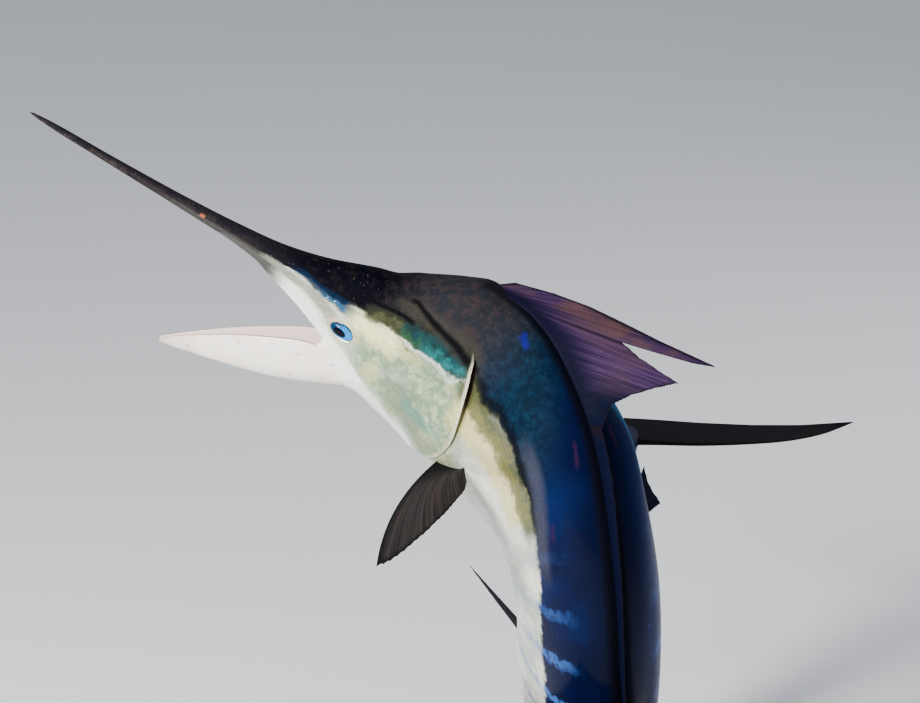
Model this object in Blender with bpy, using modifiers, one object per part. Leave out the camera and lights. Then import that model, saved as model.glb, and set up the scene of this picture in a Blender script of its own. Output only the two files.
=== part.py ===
# A striped marlin in a leap, as a still, life-size model on a plain display stand.
# Metres, +Z up. The origin is the centre of the underside of the stand's base.
# The fish's bill points to -X. Every form on it is placed in the fish's own terms: its station
# (distance along the spine from the tip of the bill), its side (positive to the fish's right)
# and its height (positive towards the back). The spine then bends all of it at once.

import math

import bmesh
import bpy
import numpy as np
from mathutils import Matrix, Vector

GAP = 0.0003            # clearance between touching pieces
FIN_GAP = 0.0008        # clearance under a fin's root, where the skin is faceted
JOINT_GAP = 0.0020      # between fins whose edges meet, as their rays lean far back
NEAR = 0.004            # stations closer than this count as one
RIGHT, LEFT = 1, -1

# The spine: station, heading (x, y, z), twist of the back towards -Y in degrees
BILL_TIP = (-0.870, -0.018, 1.267)
BACK_AT_TIP = (0.490, -0.088, 0.867)
SPINE_STEP = 0.005
SPINE_END = 2.85
SPINE = (
    (0.00, 0.857, -0.133, -0.498, 0),
    (0.50, 0.857, -0.133, -0.498, 0),
    (0.70, 0.848, -0.166, -0.503, 3),
    (0.85, 0.782, -0.277, -0.566, 14),
    (1.00, 0.600, -0.334, -0.728, 34),
    (1.15, 0.300, -0.144, -0.940, 52),
    (1.30, 0.055, 0.265, -0.962, 58),
    (1.45, -0.020, 0.651, -0.758, 50),
    (1.60, 0.000, 0.915, -0.402, 38),
    (1.75, 0.050, 1.000, -0.010, 25),
    (1.90, 0.100, 0.940, 0.345, 14),
    (2.10, 0.125, 0.855, 0.545, 4),
    (2.30, 0.110, 0.920, 0.420, -2),
    (2.45, 0.100, 0.980, 0.213, -4),
    (2.85, 0.100, 0.993, 0.106, -4),
)

# The body's half sizes: station, up to the back, down to the belly, out to the side
BODY = (
    (0.000, 0.0015, 0.0015, 0.0015),
    (0.020, 0.0035, 0.0030, 0.0040),
    (0.150, 0.0075, 0.0060, 0.0085),
    (0.300, 0.0130, 0.0085, 0.0135),
    (0.400, 0.0200, 0.0120, 0.0190),
    (0.470, 0.0280, 0.0220, 0.0270),
    (0.540, 0.0450, 0.0420, 0.0370),
    (0.620, 0.0750, 0.0760, 0.0510),
    (0.690, 0.1020, 0.1080, 0.0670),
    (0.760, 0.1440, 0.1350, 0.0820),
    (0.820, 0.1710, 0.1500, 0.0920),
    (0.880, 0.1850, 0.1650, 0.1000),
    (0.960, 0.1910, 0.1780, 0.1080),
    (1.060, 0.1900, 0.1860, 0.1140),
    (1.180, 0.1830, 0.1850, 0.1150),
    (1.300, 0.1740, 0.1760, 0.1120),
    (1.450, 0.1560, 0.1580, 0.1040),
    (1.600, 0.1370, 0.1370, 0.0920),
    (1.780, 0.1110, 0.1110, 0.0750),
    (1.960, 0.0840, 0.0850, 0.0580),
    (2.140, 0.0590, 0.0590, 0.0430),
    (2.300, 0.0410, 0.0400, 0.0320),
    (2.420, 0.0340, 0.0340, 0.0230),
    (2.470, 0.0360, 0.0360, 0.0110),
)
FLANK_FULLNESS = 0.9    # below 1 rounds the flanks out from an ellipse

# The body's nodes: name, first and last station, rings, points in a ring
BODY_NODES = (
    ("bill", 0.000, 0.420, 9, 16),
    ("head", 0.420, 0.940, 27, 32),
    ("trunk_front", 0.940, 1.150, 7, 24),
    ("trunk_middle", 1.150, 1.500, 12, 24),
    ("trunk_rear", 1.500, 1.900, 13, 24),
    ("tail_stock", 1.900, 2.280, 9, 24),
    ("peduncle", 2.280, 2.470, 10, 24),
)

# The mouth's roof, between the lips: station and depth of the hollow
ROOF = ((0.420, 0.0), (0.460, 0.006), (0.540, 0.018), (0.620, 0.034), (0.700, 0.046), (0.745, 0.0))
ROOF_SPREAD = 34        # degrees each way from the belly line, between the lips
JAW_SQUARENESS = 0.55   # how far the lips drop to the level of the lower edge
LIP_SWELL = 0.0020
LIP_GROOVE = 0.0018

# Two keels on each side of the tail's narrow stem
KEEL_START, KEEL_END, KEEL_EASE = 2.330, 2.470, 0.070
KEEL_RISE, KEEL_ANGLE = 0.009, 15

# The eye, on each side: station, degrees above the side line, radii, how far it stands out
EYE_AT, EYE_ANGLE = 0.629, -7
EYE_RADII = (0.0275, 0.0190, 0.0130)
EYE_PROUD = 0.0042
NOSTRILS = ((0.576, 6, 0.0032), (0.590, 8, 0.0040))     # station, degrees up, radius

# The gill covers: degrees above the side line, front and rear station
GILL_ROWS = (
    (33.75, 0.775, 0.838),
    (22.50, 0.755, 0.866),
    (11.25, 0.745, 0.882),
    (0.00, 0.740, 0.896),
    (-11.25, 0.740, 0.905),
    (-22.50, 0.745, 0.904),
    (-33.75, 0.755, 0.896),
    (-45.00, 0.770, 0.880),
    (-56.25, 0.785, 0.858),
)
GILL_COLUMNS = 8
GILL_THICK_FRONT, GILL_THICK_REAR = 0.0008, 0.0060

# The lower jaw, hinged open: where it hinges, the angle below the bill, and its cross sections
# forward from the hinge: distance, half width, rim above and keel below the axis, wall
JAW_HINGE_AT, JAW_HINGE_DOWN = 0.705, 0.096
JAW_ANGLE = 23
JAW = (
    (-0.050, 0.052, 0.012, 0.008, 0.0100),
    (0.000, 0.053, 0.028, 0.011, 0.0110),
    (0.050, 0.049, 0.047, 0.019, 0.0100),
    (0.110, 0.042, 0.054, 0.025, 0.0090),
    (0.170, 0.034, 0.048, 0.026, 0.0080),
    (0.230, 0.025, 0.038, 0.021, 0.0070),
    (0.290, 0.016, 0.024, 0.014, 0.0055),
    (0.335, 0.009, 0.012, 0.008, 0.0040),
    (0.362, 0.003, 0.004, 0.003, 0.0012),
)
JAW_RINGS, JAW_POINTS = 20, 11

# Fins on the midline: station of a ray's root, then how far back, how high and how far to the right
# of it the ray's end lies
DORSAL_FRONT = (
    (0.790, 0.035, 0.027, 0.027), (0.793, 0.130, 0.063, 0.020), (0.797, 0.212, 0.088, 0.002),
    (0.801, 0.280, 0.109, -0.016), (0.806, 0.375, 0.140, -0.035), (0.818, 0.326, 0.121, -0.030),
    (0.832, 0.260, 0.098, -0.019), (0.848, 0.178, 0.070, -0.009),
)
DORSAL_SECOND_LOBE = (
    (0.848, 0.178, 0.070, -0.009), (0.864, 0.201, 0.076, -0.012), (0.884, 0.221, 0.089, -0.006),
    (0.910, 0.218, 0.103, 0.012), (0.945, 0.149, 0.080, 0.025), (0.980, 0.084, 0.059, 0.029),
    (1.010, 0.032, 0.041, 0.019), (1.035, 0.016, 0.036, 0.000),
)
DORSAL_LOW_FRONT = (
    (1.035, 0.016, 0.036, 0.000), (1.070, 0.024, 0.027, 0.000), (1.200, 0.026, 0.022, 0.000),
    (1.500, 0.026, 0.020, 0.000),
)
DORSAL_LOW_REAR = (
    (1.500, 0.026, 0.020, 0.000), (1.800, 0.026, 0.018, 0.000), (2.040, 0.026, 0.015, 0.000),
    (2.100, 0.018, 0.008, 0.000),
)
DORSAL_SMALL = (
    (2.235, 0.012, 0.018, 0.000), (2.250, 0.040, 0.046, 0.000), (2.262, 0.044, 0.034, 0.000),
    (2.280, 0.052, 0.022, 0.000), (2.300, 0.078, 0.011, 0.000),
)
ANAL_FRONT = (
    (1.620, 0.022, 0.030, 0.000), (1.634, 0.085, 0.110, 0.000), (1.648, 0.150, 0.172, 0.000),
    (1.668, 0.104, 0.116, 0.000), (1.695, 0.074, 0.072, 0.000), (1.740, 0.056, 0.044, 0.000),
    (1.800, 0.048, 0.028, 0.000), (1.860, 0.044, 0.012, 0.000),
)
ANAL_SMALL = (
    (2.190, 0.012, 0.018, 0.000), (2.205, 0.042, 0.050, 0.000), (2.218, 0.046, 0.036, 0.000),
    (2.236, 0.054, 0.023, 0.000), (2.256, 0.080, 0.011, 0.000),
)
BACK_SIDE, BELLY_SIDE = 90, -90

# Name, rays, side, rows from root to edge, thickness at the root and at the edge, colour
MIDLINE_FINS = (
    ("dorsal_front_lobe", DORSAL_FRONT, BACK_SIDE, 6, 0.0046, 0.0010, "dorsal"),
    ("dorsal_second_lobe", DORSAL_SECOND_LOBE, BACK_SIDE, 5, 0.0046, 0.0010, "dorsal"),
    ("dorsal_low_front", DORSAL_LOW_FRONT, BACK_SIDE, 3, 0.0040, 0.0014, "dorsal"),
    ("dorsal_low_rear", DORSAL_LOW_REAR, BACK_SIDE, 3, 0.0036, 0.0012, "dorsal"),
    ("second_dorsal", DORSAL_SMALL, BACK_SIDE, 3, 0.0032, 0.0010, "dorsal"),
    ("first_anal", ANAL_FRONT, BELLY_SIDE, 5, 0.0044, 0.0010, "fin"),
    ("second_anal", ANAL_SMALL, BELLY_SIDE, 3, 0.0032, 0.0010, "fin"),
)

# The pectoral fins: root from the leading to the trailing end, as station and degrees above the
# side line, and each ray's end: share across the root, reach, distance behind the leading end
PECTORAL_ROOT = ((0.903, -44), (0.968, -20))
PECTORAL_RAYS = (
    (0.00, 0.385, 0.096), (0.07, 0.368, 0.104), (0.18, 0.325, 0.108), (0.32, 0.265, 0.108),
    (0.47, 0.205, 0.106), (0.62, 0.152, 0.102), (0.77, 0.106, 0.096), (0.90, 0.070, 0.090),
    (1.00, 0.040, 0.078),
)
PECTORAL_ROWS = 9
PECTORAL_THICK = (0.0066, 0.0012)
PECTORAL_BOW = 0.022
PECTORAL_SUNK = 0.006
PECTORAL_AIM = {LEFT: (0.97, 0.14, 0.06), RIGHT: (0.25, -0.75, 0.60)}    # outward, up, back

# The pelvic fins: thin blades folded back under the belly
PELVIC_START, PELVIC_END, PELVIC_SIDE = 0.950, 1.195, 0.016
PELVIC_WIDTH, PELVIC_THICK = 0.0120, 0.0034
PELVIC_CLEAR, PELVIC_DROP, PELVIC_SPREAD = 0.0006, 0.0140, 0.010
PELVIC_RINGS, PELVIC_POINTS = 15, 8

# The tail's lobes: distance back from the stem and height, along the leading and trailing edges
CAUDAL_AT = 2.470
CAUDAL_LEAD = (
    (0.0, 0.0345), (0.012, 0.075), (0.036, 0.145), (0.070, 0.220), (0.115, 0.300), (0.170, 0.365),
    (0.240, 0.420),
)
CAUDAL_TRAIL = (
    (0.0, 0.0), (0.078, 0.0), (0.096, 0.060), (0.118, 0.140), (0.150, 0.235), (0.188, 0.325),
    (0.241, 0.4190),
)
CAUDAL_ROWS = 9
CAUDAL_THICK = (0.0105, 0.0014)

# Rays: how far a ray stands above the web beside it, and the count in each fin
RAY_RISE = 0.0022
RAYS = {
    "dorsal_front_lobe": 11, "dorsal_second_lobe": 10, "second_dorsal": 5, "first_anal": 11,
    "second_anal": 5, "pectoral": 11, "caudal": 11,
}

# The stand
BASE_SIZE = (0.62, 1.06, 0.034)
BASE_CORNER = 0.050
ROD_RADIUS, COLLAR_RADIUS, COLLAR_HEIGHT = 0.014, 0.032, 0.010
RODS = (("stand_rod_front", 0.082, -0.120), ("stand_rod_rear", 0.088, 0.250))
ROD_TOP = 0.300

# Colours: name, base colour, roughness, metallic
COLOURS = {
    "back": ((0.030, 0.032, 0.060), 0.30, 0.0),
    "bill": ((0.040, 0.035, 0.035), 0.40, 0.0),
    "head": ((0.180, 0.170, 0.170), 0.32, 0.0),
    "gill": ((0.600, 0.640, 0.560), 0.28, 0.0),
    "jaw": ((0.760, 0.660, 0.620), 0.40, 0.0),
    "eye": ((0.020, 0.120, 0.300), 0.05, 0.0),
    "dorsal": ((0.160, 0.090, 0.170), 0.40, 0.0),
    "fin": ((0.040, 0.032, 0.034), 0.40, 0.0),
    "stand": ((0.030, 0.030, 0.032), 0.45, 0.0),
    "steel": ((0.560, 0.560, 0.570), 0.30, 1.0),
}


def clear_scene():
    for old in list(bpy.data.objects):
        bpy.data.objects.remove(old, do_unlink=True)


def new_collection(name):
    group = bpy.data.collections.new(name)
    bpy.context.scene.collection.children.link(group)
    return group


def smooth_curve(stations, values, at):
    """A smooth curve through the rows of a table, read at one or more stations."""
    xs = np.asarray(stations, float)
    ys = np.asarray(values, float)
    at = np.atleast_1d(np.asarray(at, float))
    step = np.diff(xs)[:, None]
    slope = np.diff(ys, axis=0) / step
    tangent = np.zeros_like(ys)
    tangent[0], tangent[-1] = slope[0], slope[-1]
    tangent[1:-1] = (slope[:-1] * step[1:] + slope[1:] * step[:-1]) / (step[1:] + step[:-1])
    row = np.clip(np.searchsorted(xs, at, side="right") - 1, 0, len(xs) - 2)
    span = step[row]
    t = (at - xs[row])[:, None] / span
    start = (2 * t**3 - 3 * t**2 + 1) * ys[row] + (t**3 - 2 * t**2 + t) * span * tangent[row]
    end = (3 * t**2 - 2 * t**3) * ys[row + 1] + (t**3 - t**2) * span * tangent[row + 1]
    return start + end


def table_at(table, at):
    """The columns of a table after its first, on straight lines between its rows."""
    rows = np.asarray(table, float)
    return np.array([np.interp(at, rows[:, 0], rows[:, k]) for k in range(1, rows.shape[1])])


def unit(vector):
    return vector / np.linalg.norm(vector)


def build_spine():
    """Stations, points, headings and back directions, followed in small steps from the bill."""
    rows = np.array(SPINE, float)
    stations = np.arange(0.0, SPINE_END, SPINE_STEP)
    heading = smooth_curve(rows[:, 0], rows[:, 1:4], stations)
    heading /= np.linalg.norm(heading, axis=1)[:, None]
    twist = np.radians(smooth_curve(rows[:, 0], rows[:, 4:5], stations)[:, 0])
    point = np.zeros_like(heading)
    point[1:] = np.cumsum((heading[1:] + heading[:-1]) / 2 * SPINE_STEP, axis=0)
    point += np.array(BILL_TIP)
    back = np.zeros_like(heading)
    carried = np.array(BACK_AT_TIP)
    for k, ahead in enumerate(heading):
        carried = unit(carried - ahead * (carried @ ahead))
        right = np.cross(-ahead, carried)
        back[k] = carried * math.cos(twist[k]) - right * math.sin(twist[k])
    return stations, point, heading, back


SPINE_LINE = build_spine()


def frame_at(station):
    """The spine's point, its direction to the tail, to the back and to the right."""
    stations, point, heading, back = SPINE_LINE
    read = [np.array([np.interp(station, stations, part[:, k]) for k in range(3)])
            for part in (point, heading, back)]
    tailward = unit(read[1])
    backward = unit(read[2] - tailward * (read[2] @ tailward))
    return read[0], tailward, backward, np.cross(-tailward, backward)


def place(station, side, height):
    point, _, up, right = frame_at(station)
    return point + right * side + up * height


def half_sizes(station):
    rows = np.array(BODY)
    return smooth_curve(rows[:, 0], rows[:, 1:], station)[0]


def ease(value, start, end):
    """0 before start, 1 past end, and smooth between them."""
    t = min(1.0, max(0.0, (value - start) / (end - start)))
    return t * t * (3 - 2 * t)


def section(station, degrees):
    """Side and height of the skin at an angle round the body: 0 is right, 90 is the back."""
    up, down, out = half_sizes(station)
    cosine, sine = math.cos(math.radians(degrees)), math.sin(math.radians(degrees))
    side = out * math.copysign(abs(cosine) ** FLANK_FULLNESS, cosine)
    if sine > 0:
        return side, up * sine
    square = JAW_SQUARENESS * ease(station, 0.42, 0.50) * (1 - ease(station, 0.70, 0.80))
    return side, -down * abs(sine) ** (1 - square)


def head_section(station, degrees):
    """The head's section, with its lips and the hollow roof of the mouth between them."""
    side, height = section(station, degrees)
    off_belly = abs((degrees + 90 + 180) % 360 - 180)
    depth = table_at(ROOF, station)[0]
    fade = ease(station, 0.44, 0.48) * (1 - ease(station, 0.68, 0.72))
    if off_belly < ROOF_SPREAD:
        inward = ease(ROOF_SPREAD - off_belly, 0, ROOF_SPREAD * 0.6)
        return side * (1 - 0.12 * fade), height + depth * inward
    scale = 1.0
    if abs(off_belly - 45) < 3:
        scale += LIP_SWELL * fade / math.hypot(side, height)
    if abs(off_belly - 56.25) < 3:
        scale -= LIP_GROOVE * fade / math.hypot(side, height)
    return side * scale, height * scale


def stem_section(station, degrees):
    """The tail's stem, with two keels on each side."""
    side, height = section(station, degrees)
    grown = ease(station, KEEL_START, KEEL_START + KEEL_EASE)
    rise = grown * (1 - ease(station, KEEL_END - KEEL_EASE / 2, KEEL_END))
    off_side = min(degrees % 180, 180 - degrees % 180)
    if abs(off_side - KEEL_ANGLE) < 1:
        side += math.copysign(KEEL_RISE * rise, side)
    return side, height


SECTIONS = {"head": head_section, "peduncle": stem_section}


def body_grid(name, start, end, rings, points):
    """The skin of one length of the body: its stations, its angles and the points on them."""
    stations = np.linspace(start + GAP / 2, end - GAP / 2, rings)
    if name == "bill":
        stations = start + (end - GAP / 2 - start) * np.linspace(0, 1, rings) ** 1.3
    angles = np.arange(points) * 360.0 / points
    shape = SECTIONS.get(name, section)
    grid = [[place(s, *shape(s, a)) for a in angles] for s in stations]
    return stations, angles, np.array(grid)


SKIN = {row[0]: body_grid(*row) for row in BODY_NODES}


def on_skin(station, degrees):
    """A point on the faceted skin and the way out of the body there."""
    for name, start, end, _, _ in BODY_NODES:
        if station <= end:
            break
    stations, angles, grid = SKIN[name]
    row = int(np.clip(np.searchsorted(stations, station, side="right") - 1, 0, len(stations) - 2))
    t = min(1.0, max(0.0, (station - stations[row]) / (stations[row + 1] - stations[row])))
    turn = (degrees % 360) / 360 * len(angles)
    k = int(turn) % len(angles)
    f = turn - int(turn)
    corners = grid[row][k], grid[row][(k + 1) % len(angles)]
    beyond = grid[row + 1][k], grid[row + 1][(k + 1) % len(angles)]
    near = corners[0] * (1 - f) + corners[1] * f
    far = beyond[0] * (1 - f) + beyond[1] * f
    point = near * (1 - t) + far * t
    around = (corners[1] - corners[0]) * (1 - t) + (beyond[1] - beyond[0]) * t
    return point, unit(np.cross(around, far - near))


def side_angle(side, degrees):
    """Turns degrees above the side line of one flank into the angle round the body."""
    return degrees if side == RIGHT else 180 - degrees


def make_material(name):
    colour, roughness, metallic = COLOURS[name]
    material = bpy.data.materials.new(name)
    material.use_nodes = True
    shader = material.node_tree.nodes["Principled BSDF"]
    shader.inputs["Base Color"].default_value = (*colour, 1)
    shader.inputs["Roughness"].default_value = roughness
    shader.inputs["Metallic"].default_value = metallic
    material.diffuse_color = (*colour, 1)
    return material


def add_object(name, mesh, colour, collection):
    thing = bpy.data.objects.new(name, mesh)
    collection.objects.link(thing)
    mesh.materials.append(make_material(colour))
    return thing


def closed_mesh(name, points, faces):
    mesh = bpy.data.meshes.new(name)
    mesh.from_pydata([tuple(p) for p in points], [], faces)
    shape = bmesh.new()
    shape.from_mesh(mesh)
    bmesh.ops.recalc_face_normals(shape, faces=shape.faces)
    shape.to_mesh(mesh)
    shape.free()
    mesh.shade_smooth()
    mesh.set_sharp_from_angle(angle=math.radians(40))
    return mesh


def loft(name, rings):
    """A closed body through rings of equal count, with a fan over each end."""
    count = len(rings[0])
    points = [p for ring in rings for p in ring]
    faces = []
    for row in range(len(rings) - 1):
        near, far = row * count, (row + 1) * count
        for k in range(count):
            n = (k + 1) % count
            faces.append((near + k, near + n, far + n))
            faces.append((near + k, far + n, far + k))
    for base, ring in ((0, rings[0]), ((len(rings) - 1) * count, rings[-1])):
        middle = len(points)
        points.append(np.mean(ring, axis=0))
        faces += [(base + k, base + (k + 1) % count, middle) for k in range(count)]
    return closed_mesh(name, points, faces)


def sheet(name, upper, lower):
    """A thin closed body between two like grids, split into triangles alike on both."""
    rows, columns = upper.shape[:2]
    points = list(upper.reshape(-1, 3)) + list(lower.reshape(-1, 3))
    under = rows * columns
    faces = []
    for i in range(rows - 1):
        for j in range(columns - 1):
            a, b = i * columns + j, i * columns + j + 1
            d, c = a + columns, b + columns
            for base in (0, under):
                faces.append((a + base, b + base, c + base))
                faces.append((a + base, c + base, d + base))
    top, bottom = range(columns), range((rows - 1) * columns, rows * columns)
    left, right = range(0, under, columns), range(columns - 1, under, columns)
    for rim in (top, bottom, left, right):
        rim = list(rim)
        for a, b in zip(rim[:-1], rim[1:]):
            faces.append((a, b, b + under))
            faces.append((a, b + under, a + under))
    return closed_mesh(name, points, faces)


def grown_copy(thing, amount, collection):
    """A cutter: a copy of a node with its skin moved outward."""
    mesh = thing.data.copy()
    shape = bmesh.new()
    shape.from_mesh(mesh)
    shape.normal_update()
    moves = [v.normal.copy() for v in shape.verts]
    for vertex, move in zip(shape.verts, moves):
        vertex.co += move * amount
    shape.to_mesh(mesh)
    shape.free()
    cutter = bpy.data.objects.new("cutter_" + thing.name, mesh)
    collection.objects.link(cutter)
    cutter.hide_render = True
    cutter.display_type = "WIRE"
    return cutter


def cut_away(thing, cutter):
    """Cuts a cutter out of a node and keeps the largest closed surface that is left."""
    cut = thing.modifiers.new("cut", "BOOLEAN")
    cut.operation = "DIFFERENCE"
    cut.solver = "EXACT"
    cut.object = cutter
    bpy.context.view_layer.update()
    seen = thing.evaluated_get(bpy.context.evaluated_depsgraph_get())
    mesh = bpy.data.meshes.new_from_object(seen)
    thing.modifiers.remove(cut)
    shape = bmesh.new()
    shape.from_mesh(mesh)
    keep_largest(shape)
    bmesh.ops.triangulate(shape, faces=shape.faces)
    shape.to_mesh(mesh)
    shape.free()
    thing.data = mesh


def keep_largest(shape):
    shape.verts.ensure_lookup_table()
    waiting = set(shape.verts)
    groups = []
    while waiting:
        group = set()
        edge = [waiting.pop()]
        while edge:
            vertex = edge.pop()
            group.add(vertex)
            for link in vertex.link_edges:
                other = link.other_vert(vertex)
                if other in waiting:
                    waiting.remove(other)
                    edge.append(other)
        groups.append(group)
    groups.sort(key=len)
    loose = [vertex for group in groups[:-1] for vertex in group]
    bmesh.ops.delete(shape, geom=loose, context="VERTS")


def make_body(nodes):
    colours = {"bill": "bill", "head": "head"}
    made = {}
    for name, _, _, _, _ in BODY_NODES:
        rings = list(SKIN[name][2])
        made[name] = add_object(name, loft(name, rings), colours.get(name, "back"), nodes)
    return made


def skin_axes(station, degrees):
    """At a point of the skin: the point, and directions to the tail, up the flank and outward."""
    point, out = on_skin(station, degrees)
    _, tailward, _, _ = frame_at(station)
    along = unit(tailward - out * (tailward @ out))
    return point, along, np.cross(out, along), out


def ball(name, centre, axes, radii, segments):
    """An egg-shaped mesh with its own axes."""
    shape = bmesh.new()
    bmesh.ops.create_uvsphere(shape, u_segments=segments, v_segments=segments // 2, radius=1.0)
    turn = Matrix([[axes[c][r] * radii[c] for c in range(3)] for r in range(3)])
    for vertex in shape.verts:
        vertex.co = turn @ vertex.co + Vector(centre)
    bmesh.ops.recalc_face_normals(shape, faces=shape.faces)
    bmesh.ops.triangulate(shape, faces=shape.faces)
    mesh = bpy.data.meshes.new(name)
    shape.to_mesh(mesh)
    shape.free()
    mesh.shade_smooth()
    return mesh


def make_eyes(head, nodes, cutters):
    """Both eyes, sunk in sockets cut into the head."""
    for name, side in (("eye_left", LEFT), ("eye_right", RIGHT)):
        point, along, up, out = skin_axes(EYE_AT, side_angle(side, EYE_ANGLE))
        centre = point - out * (EYE_RADII[2] - EYE_PROUD)
        eye = add_object(name, ball(name, centre, (along, up, out), EYE_RADII, 16), "eye", nodes)
        cut_away(head, grown_copy(eye, GAP, cutters))


def make_nostrils(head, cutters):
    for side in (LEFT, RIGHT):
        for k, (station, degrees, radius) in enumerate(NOSTRILS):
            point, along, up, out = skin_axes(station, side_angle(side, degrees))
            mesh = ball("nostril", point, (along, up, out), (radius * 1.4, radius, radius), 8)
            pit = bpy.data.objects.new("cutter_nostril_%d_%d" % (side, k), mesh)
            cutters.objects.link(pit)
            pit.hide_render = True
            pit.display_type = "WIRE"
            cut_away(head, pit)


def make_gill_covers(nodes):
    """Plates that lie on the head and end in a free rear edge."""
    for name, side in (("gill_cover_left", LEFT), ("gill_cover_right", RIGHT)):
        inner, outer = [], []
        for degrees, front, rear in GILL_ROWS:
            row_in, row_out = [], []
            for t in np.linspace(0, 1, GILL_COLUMNS):
                station = front + (rear - front) * t
                point, out = on_skin(station, side_angle(side, degrees))
                thick = GILL_THICK_FRONT + (GILL_THICK_REAR - GILL_THICK_FRONT) * t
                row_in.append(point + out * FIN_GAP)
                row_out.append(point + out * (FIN_GAP + thick))
            inner.append(row_in)
            outer.append(row_out)
        add_object(name, sheet(name, np.array(outer), np.array(inner)), "gill", nodes)


def jaw_ring(hinge, ahead, up, right, distance):
    """One section of the lower jaw: a trough with rims at both sides."""
    rows = np.array(JAW)
    half, rim, keel, wall = smooth_curve(rows[:, 0], rows[:, 1:], distance)[0]
    centre = hinge + ahead * distance
    ring = []
    for k in range(JAW_POINTS):
        turn = math.pi * k / (JAW_POINTS - 1)
        drop = math.sin(turn)
        ring.append(centre + right * half * math.cos(turn) + up * (rim - (rim + keel) * drop ** 0.7))
    inner = JAW_POINTS - 2
    for k in range(inner):
        turn = math.pi * (1 - k / (inner - 1))
        drop = math.sin(turn)
        depth = rim * 0.98 - (rim + keel - wall * 1.6) * drop ** 0.7
        ring.append(centre + right * (half - wall) * math.cos(turn) + up * depth)
    return ring


def make_lower_jaw(head, nodes, cutters):
    hinge = place(JAW_HINGE_AT, 0, -JAW_HINGE_DOWN)
    _, tailward, back, right = frame_at(JAW_HINGE_AT)
    turn = math.radians(JAW_ANGLE)
    ahead = -tailward * math.cos(turn) - back * math.sin(turn)
    up = back * math.cos(turn) - tailward * math.sin(turn)
    distances = np.linspace(JAW[0][0], JAW[-1][0], JAW_RINGS)
    rings = [jaw_ring(hinge, ahead, up, right, d) for d in distances]
    jaw = add_object("lower_jaw", loft("lower_jaw", rings), "jaw", nodes)
    cut_away(jaw, grown_copy(head, FIN_GAP, cutters))


def ray_columns(count):
    """Across a fin from 0 to 1: a column on each ray and one in each web, and which is which."""
    if RAY_RISE == 0:
        return np.linspace(0, 1, count), np.zeros(count)
    columns = 2 * count - 1
    return np.linspace(0, 1, columns), np.arange(columns) % 2 == 0


def fin_thickness(root, tip, along, on_ray):
    rise = RAY_RISE * (1 - 0.6 * along) if on_ray else 0.0
    return root + (tip - root) * along + rise


def fin_roots(name, table):
    """Stations of a midline fin's columns, and which of them are rays."""
    stations = np.array(table)[:, 0]
    first, last = stations[0], stations[-1]
    if name not in RAYS:
        rings = [s for node in SKIN.values() for s in node[0] if first + NEAR < s < last - NEAR]
        inner = [s for k, s in enumerate(rings) if k == 0 or s - rings[k - 1] > 2 * NEAR]
        roots = [first] + inner + [last]
        if RAY_RISE == 0:
            return np.array(roots), np.zeros(len(roots))
        halves = np.interp(np.arange(2 * len(roots) - 1) / 2, np.arange(len(roots)), roots)
        return halves, np.arange(len(halves)) % 2 == 0
    across, on_ray = ray_columns(RAYS[name])
    spread = np.linspace(0, 1, 9 * len(stations))
    behind, high, _ = table_at(table, first + spread * (last - first))
    length = np.concatenate(([0], np.cumsum(np.hypot(np.diff(behind), np.diff(high)) + 0.01)))
    roots = first + np.interp(across, length / length[-1], spread) * (last - first)
    for station in stations[1:-1]:
        roots[1 + np.argmin(abs(roots[1:-1] - station))] = station
    return roots, on_ray


def midline_grid(roots, table, edge, rows):
    """The middle of a midline fin's sheet: its points, and the fish's right at each column."""
    grid, rights = [], []
    for j, station in enumerate(roots):
        inset = JOINT_GAP / 2 * (1 if j == 0 else -1 if j == len(roots) - 1 else 0)
        base, _ = on_skin(station + inset, edge)
        _, tailward, back, right = frame_at(station + inset)
        outward = back if edge == BACK_SIDE else -back
        behind, high, aside = table_at(table, station)
        reach = outward * high + tailward * behind + right * aside
        grid.append([base + outward * FIN_GAP + reach * t for t in np.linspace(0, 1, rows)])
        rights.append(right)
    return np.array(grid).transpose(1, 0, 2), np.array(rights)


def sheet_normals(grid, rights):
    """Which way the sheet faces: the fish's right at its root and rims, its own normal elsewhere."""
    normals = np.cross(np.gradient(grid, axis=1), np.gradient(grid, axis=0))
    normals /= np.linalg.norm(normals, axis=2)[:, :, None]
    normals *= np.sign((normals * rights).sum(axis=2))[:, :, None]
    for row, t in enumerate(np.linspace(0, 1, len(grid))):
        normals[row] = rights + (normals[row] - rights) * ease(t, 0, 0.5)
    normals[:, 0] = rights[0]
    normals[:, -1] = rights[-1]
    return normals / np.linalg.norm(normals, axis=2)[:, :, None]


def midline_fin(name, table, edge, rows, root, tip, colour, nodes):
    """A fin on the back or belly: rays rooted along the midline, with their ends from a table."""
    roots, on_ray = fin_roots(name, table)
    grid, rights = midline_grid(roots, table, edge, rows)
    along = np.linspace(0, 1, rows)
    half = [[fin_thickness(root, tip, t, ray) / 2 for ray in on_ray] for t in along]
    offset = sheet_normals(grid, rights) * np.array(half)[:, :, None]
    add_object(name, sheet(name, grid + offset, grid - offset), colour, nodes)


def make_midline_fins(nodes):
    for row in MIDLINE_FINS:
        midline_fin(*row, nodes)


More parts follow.
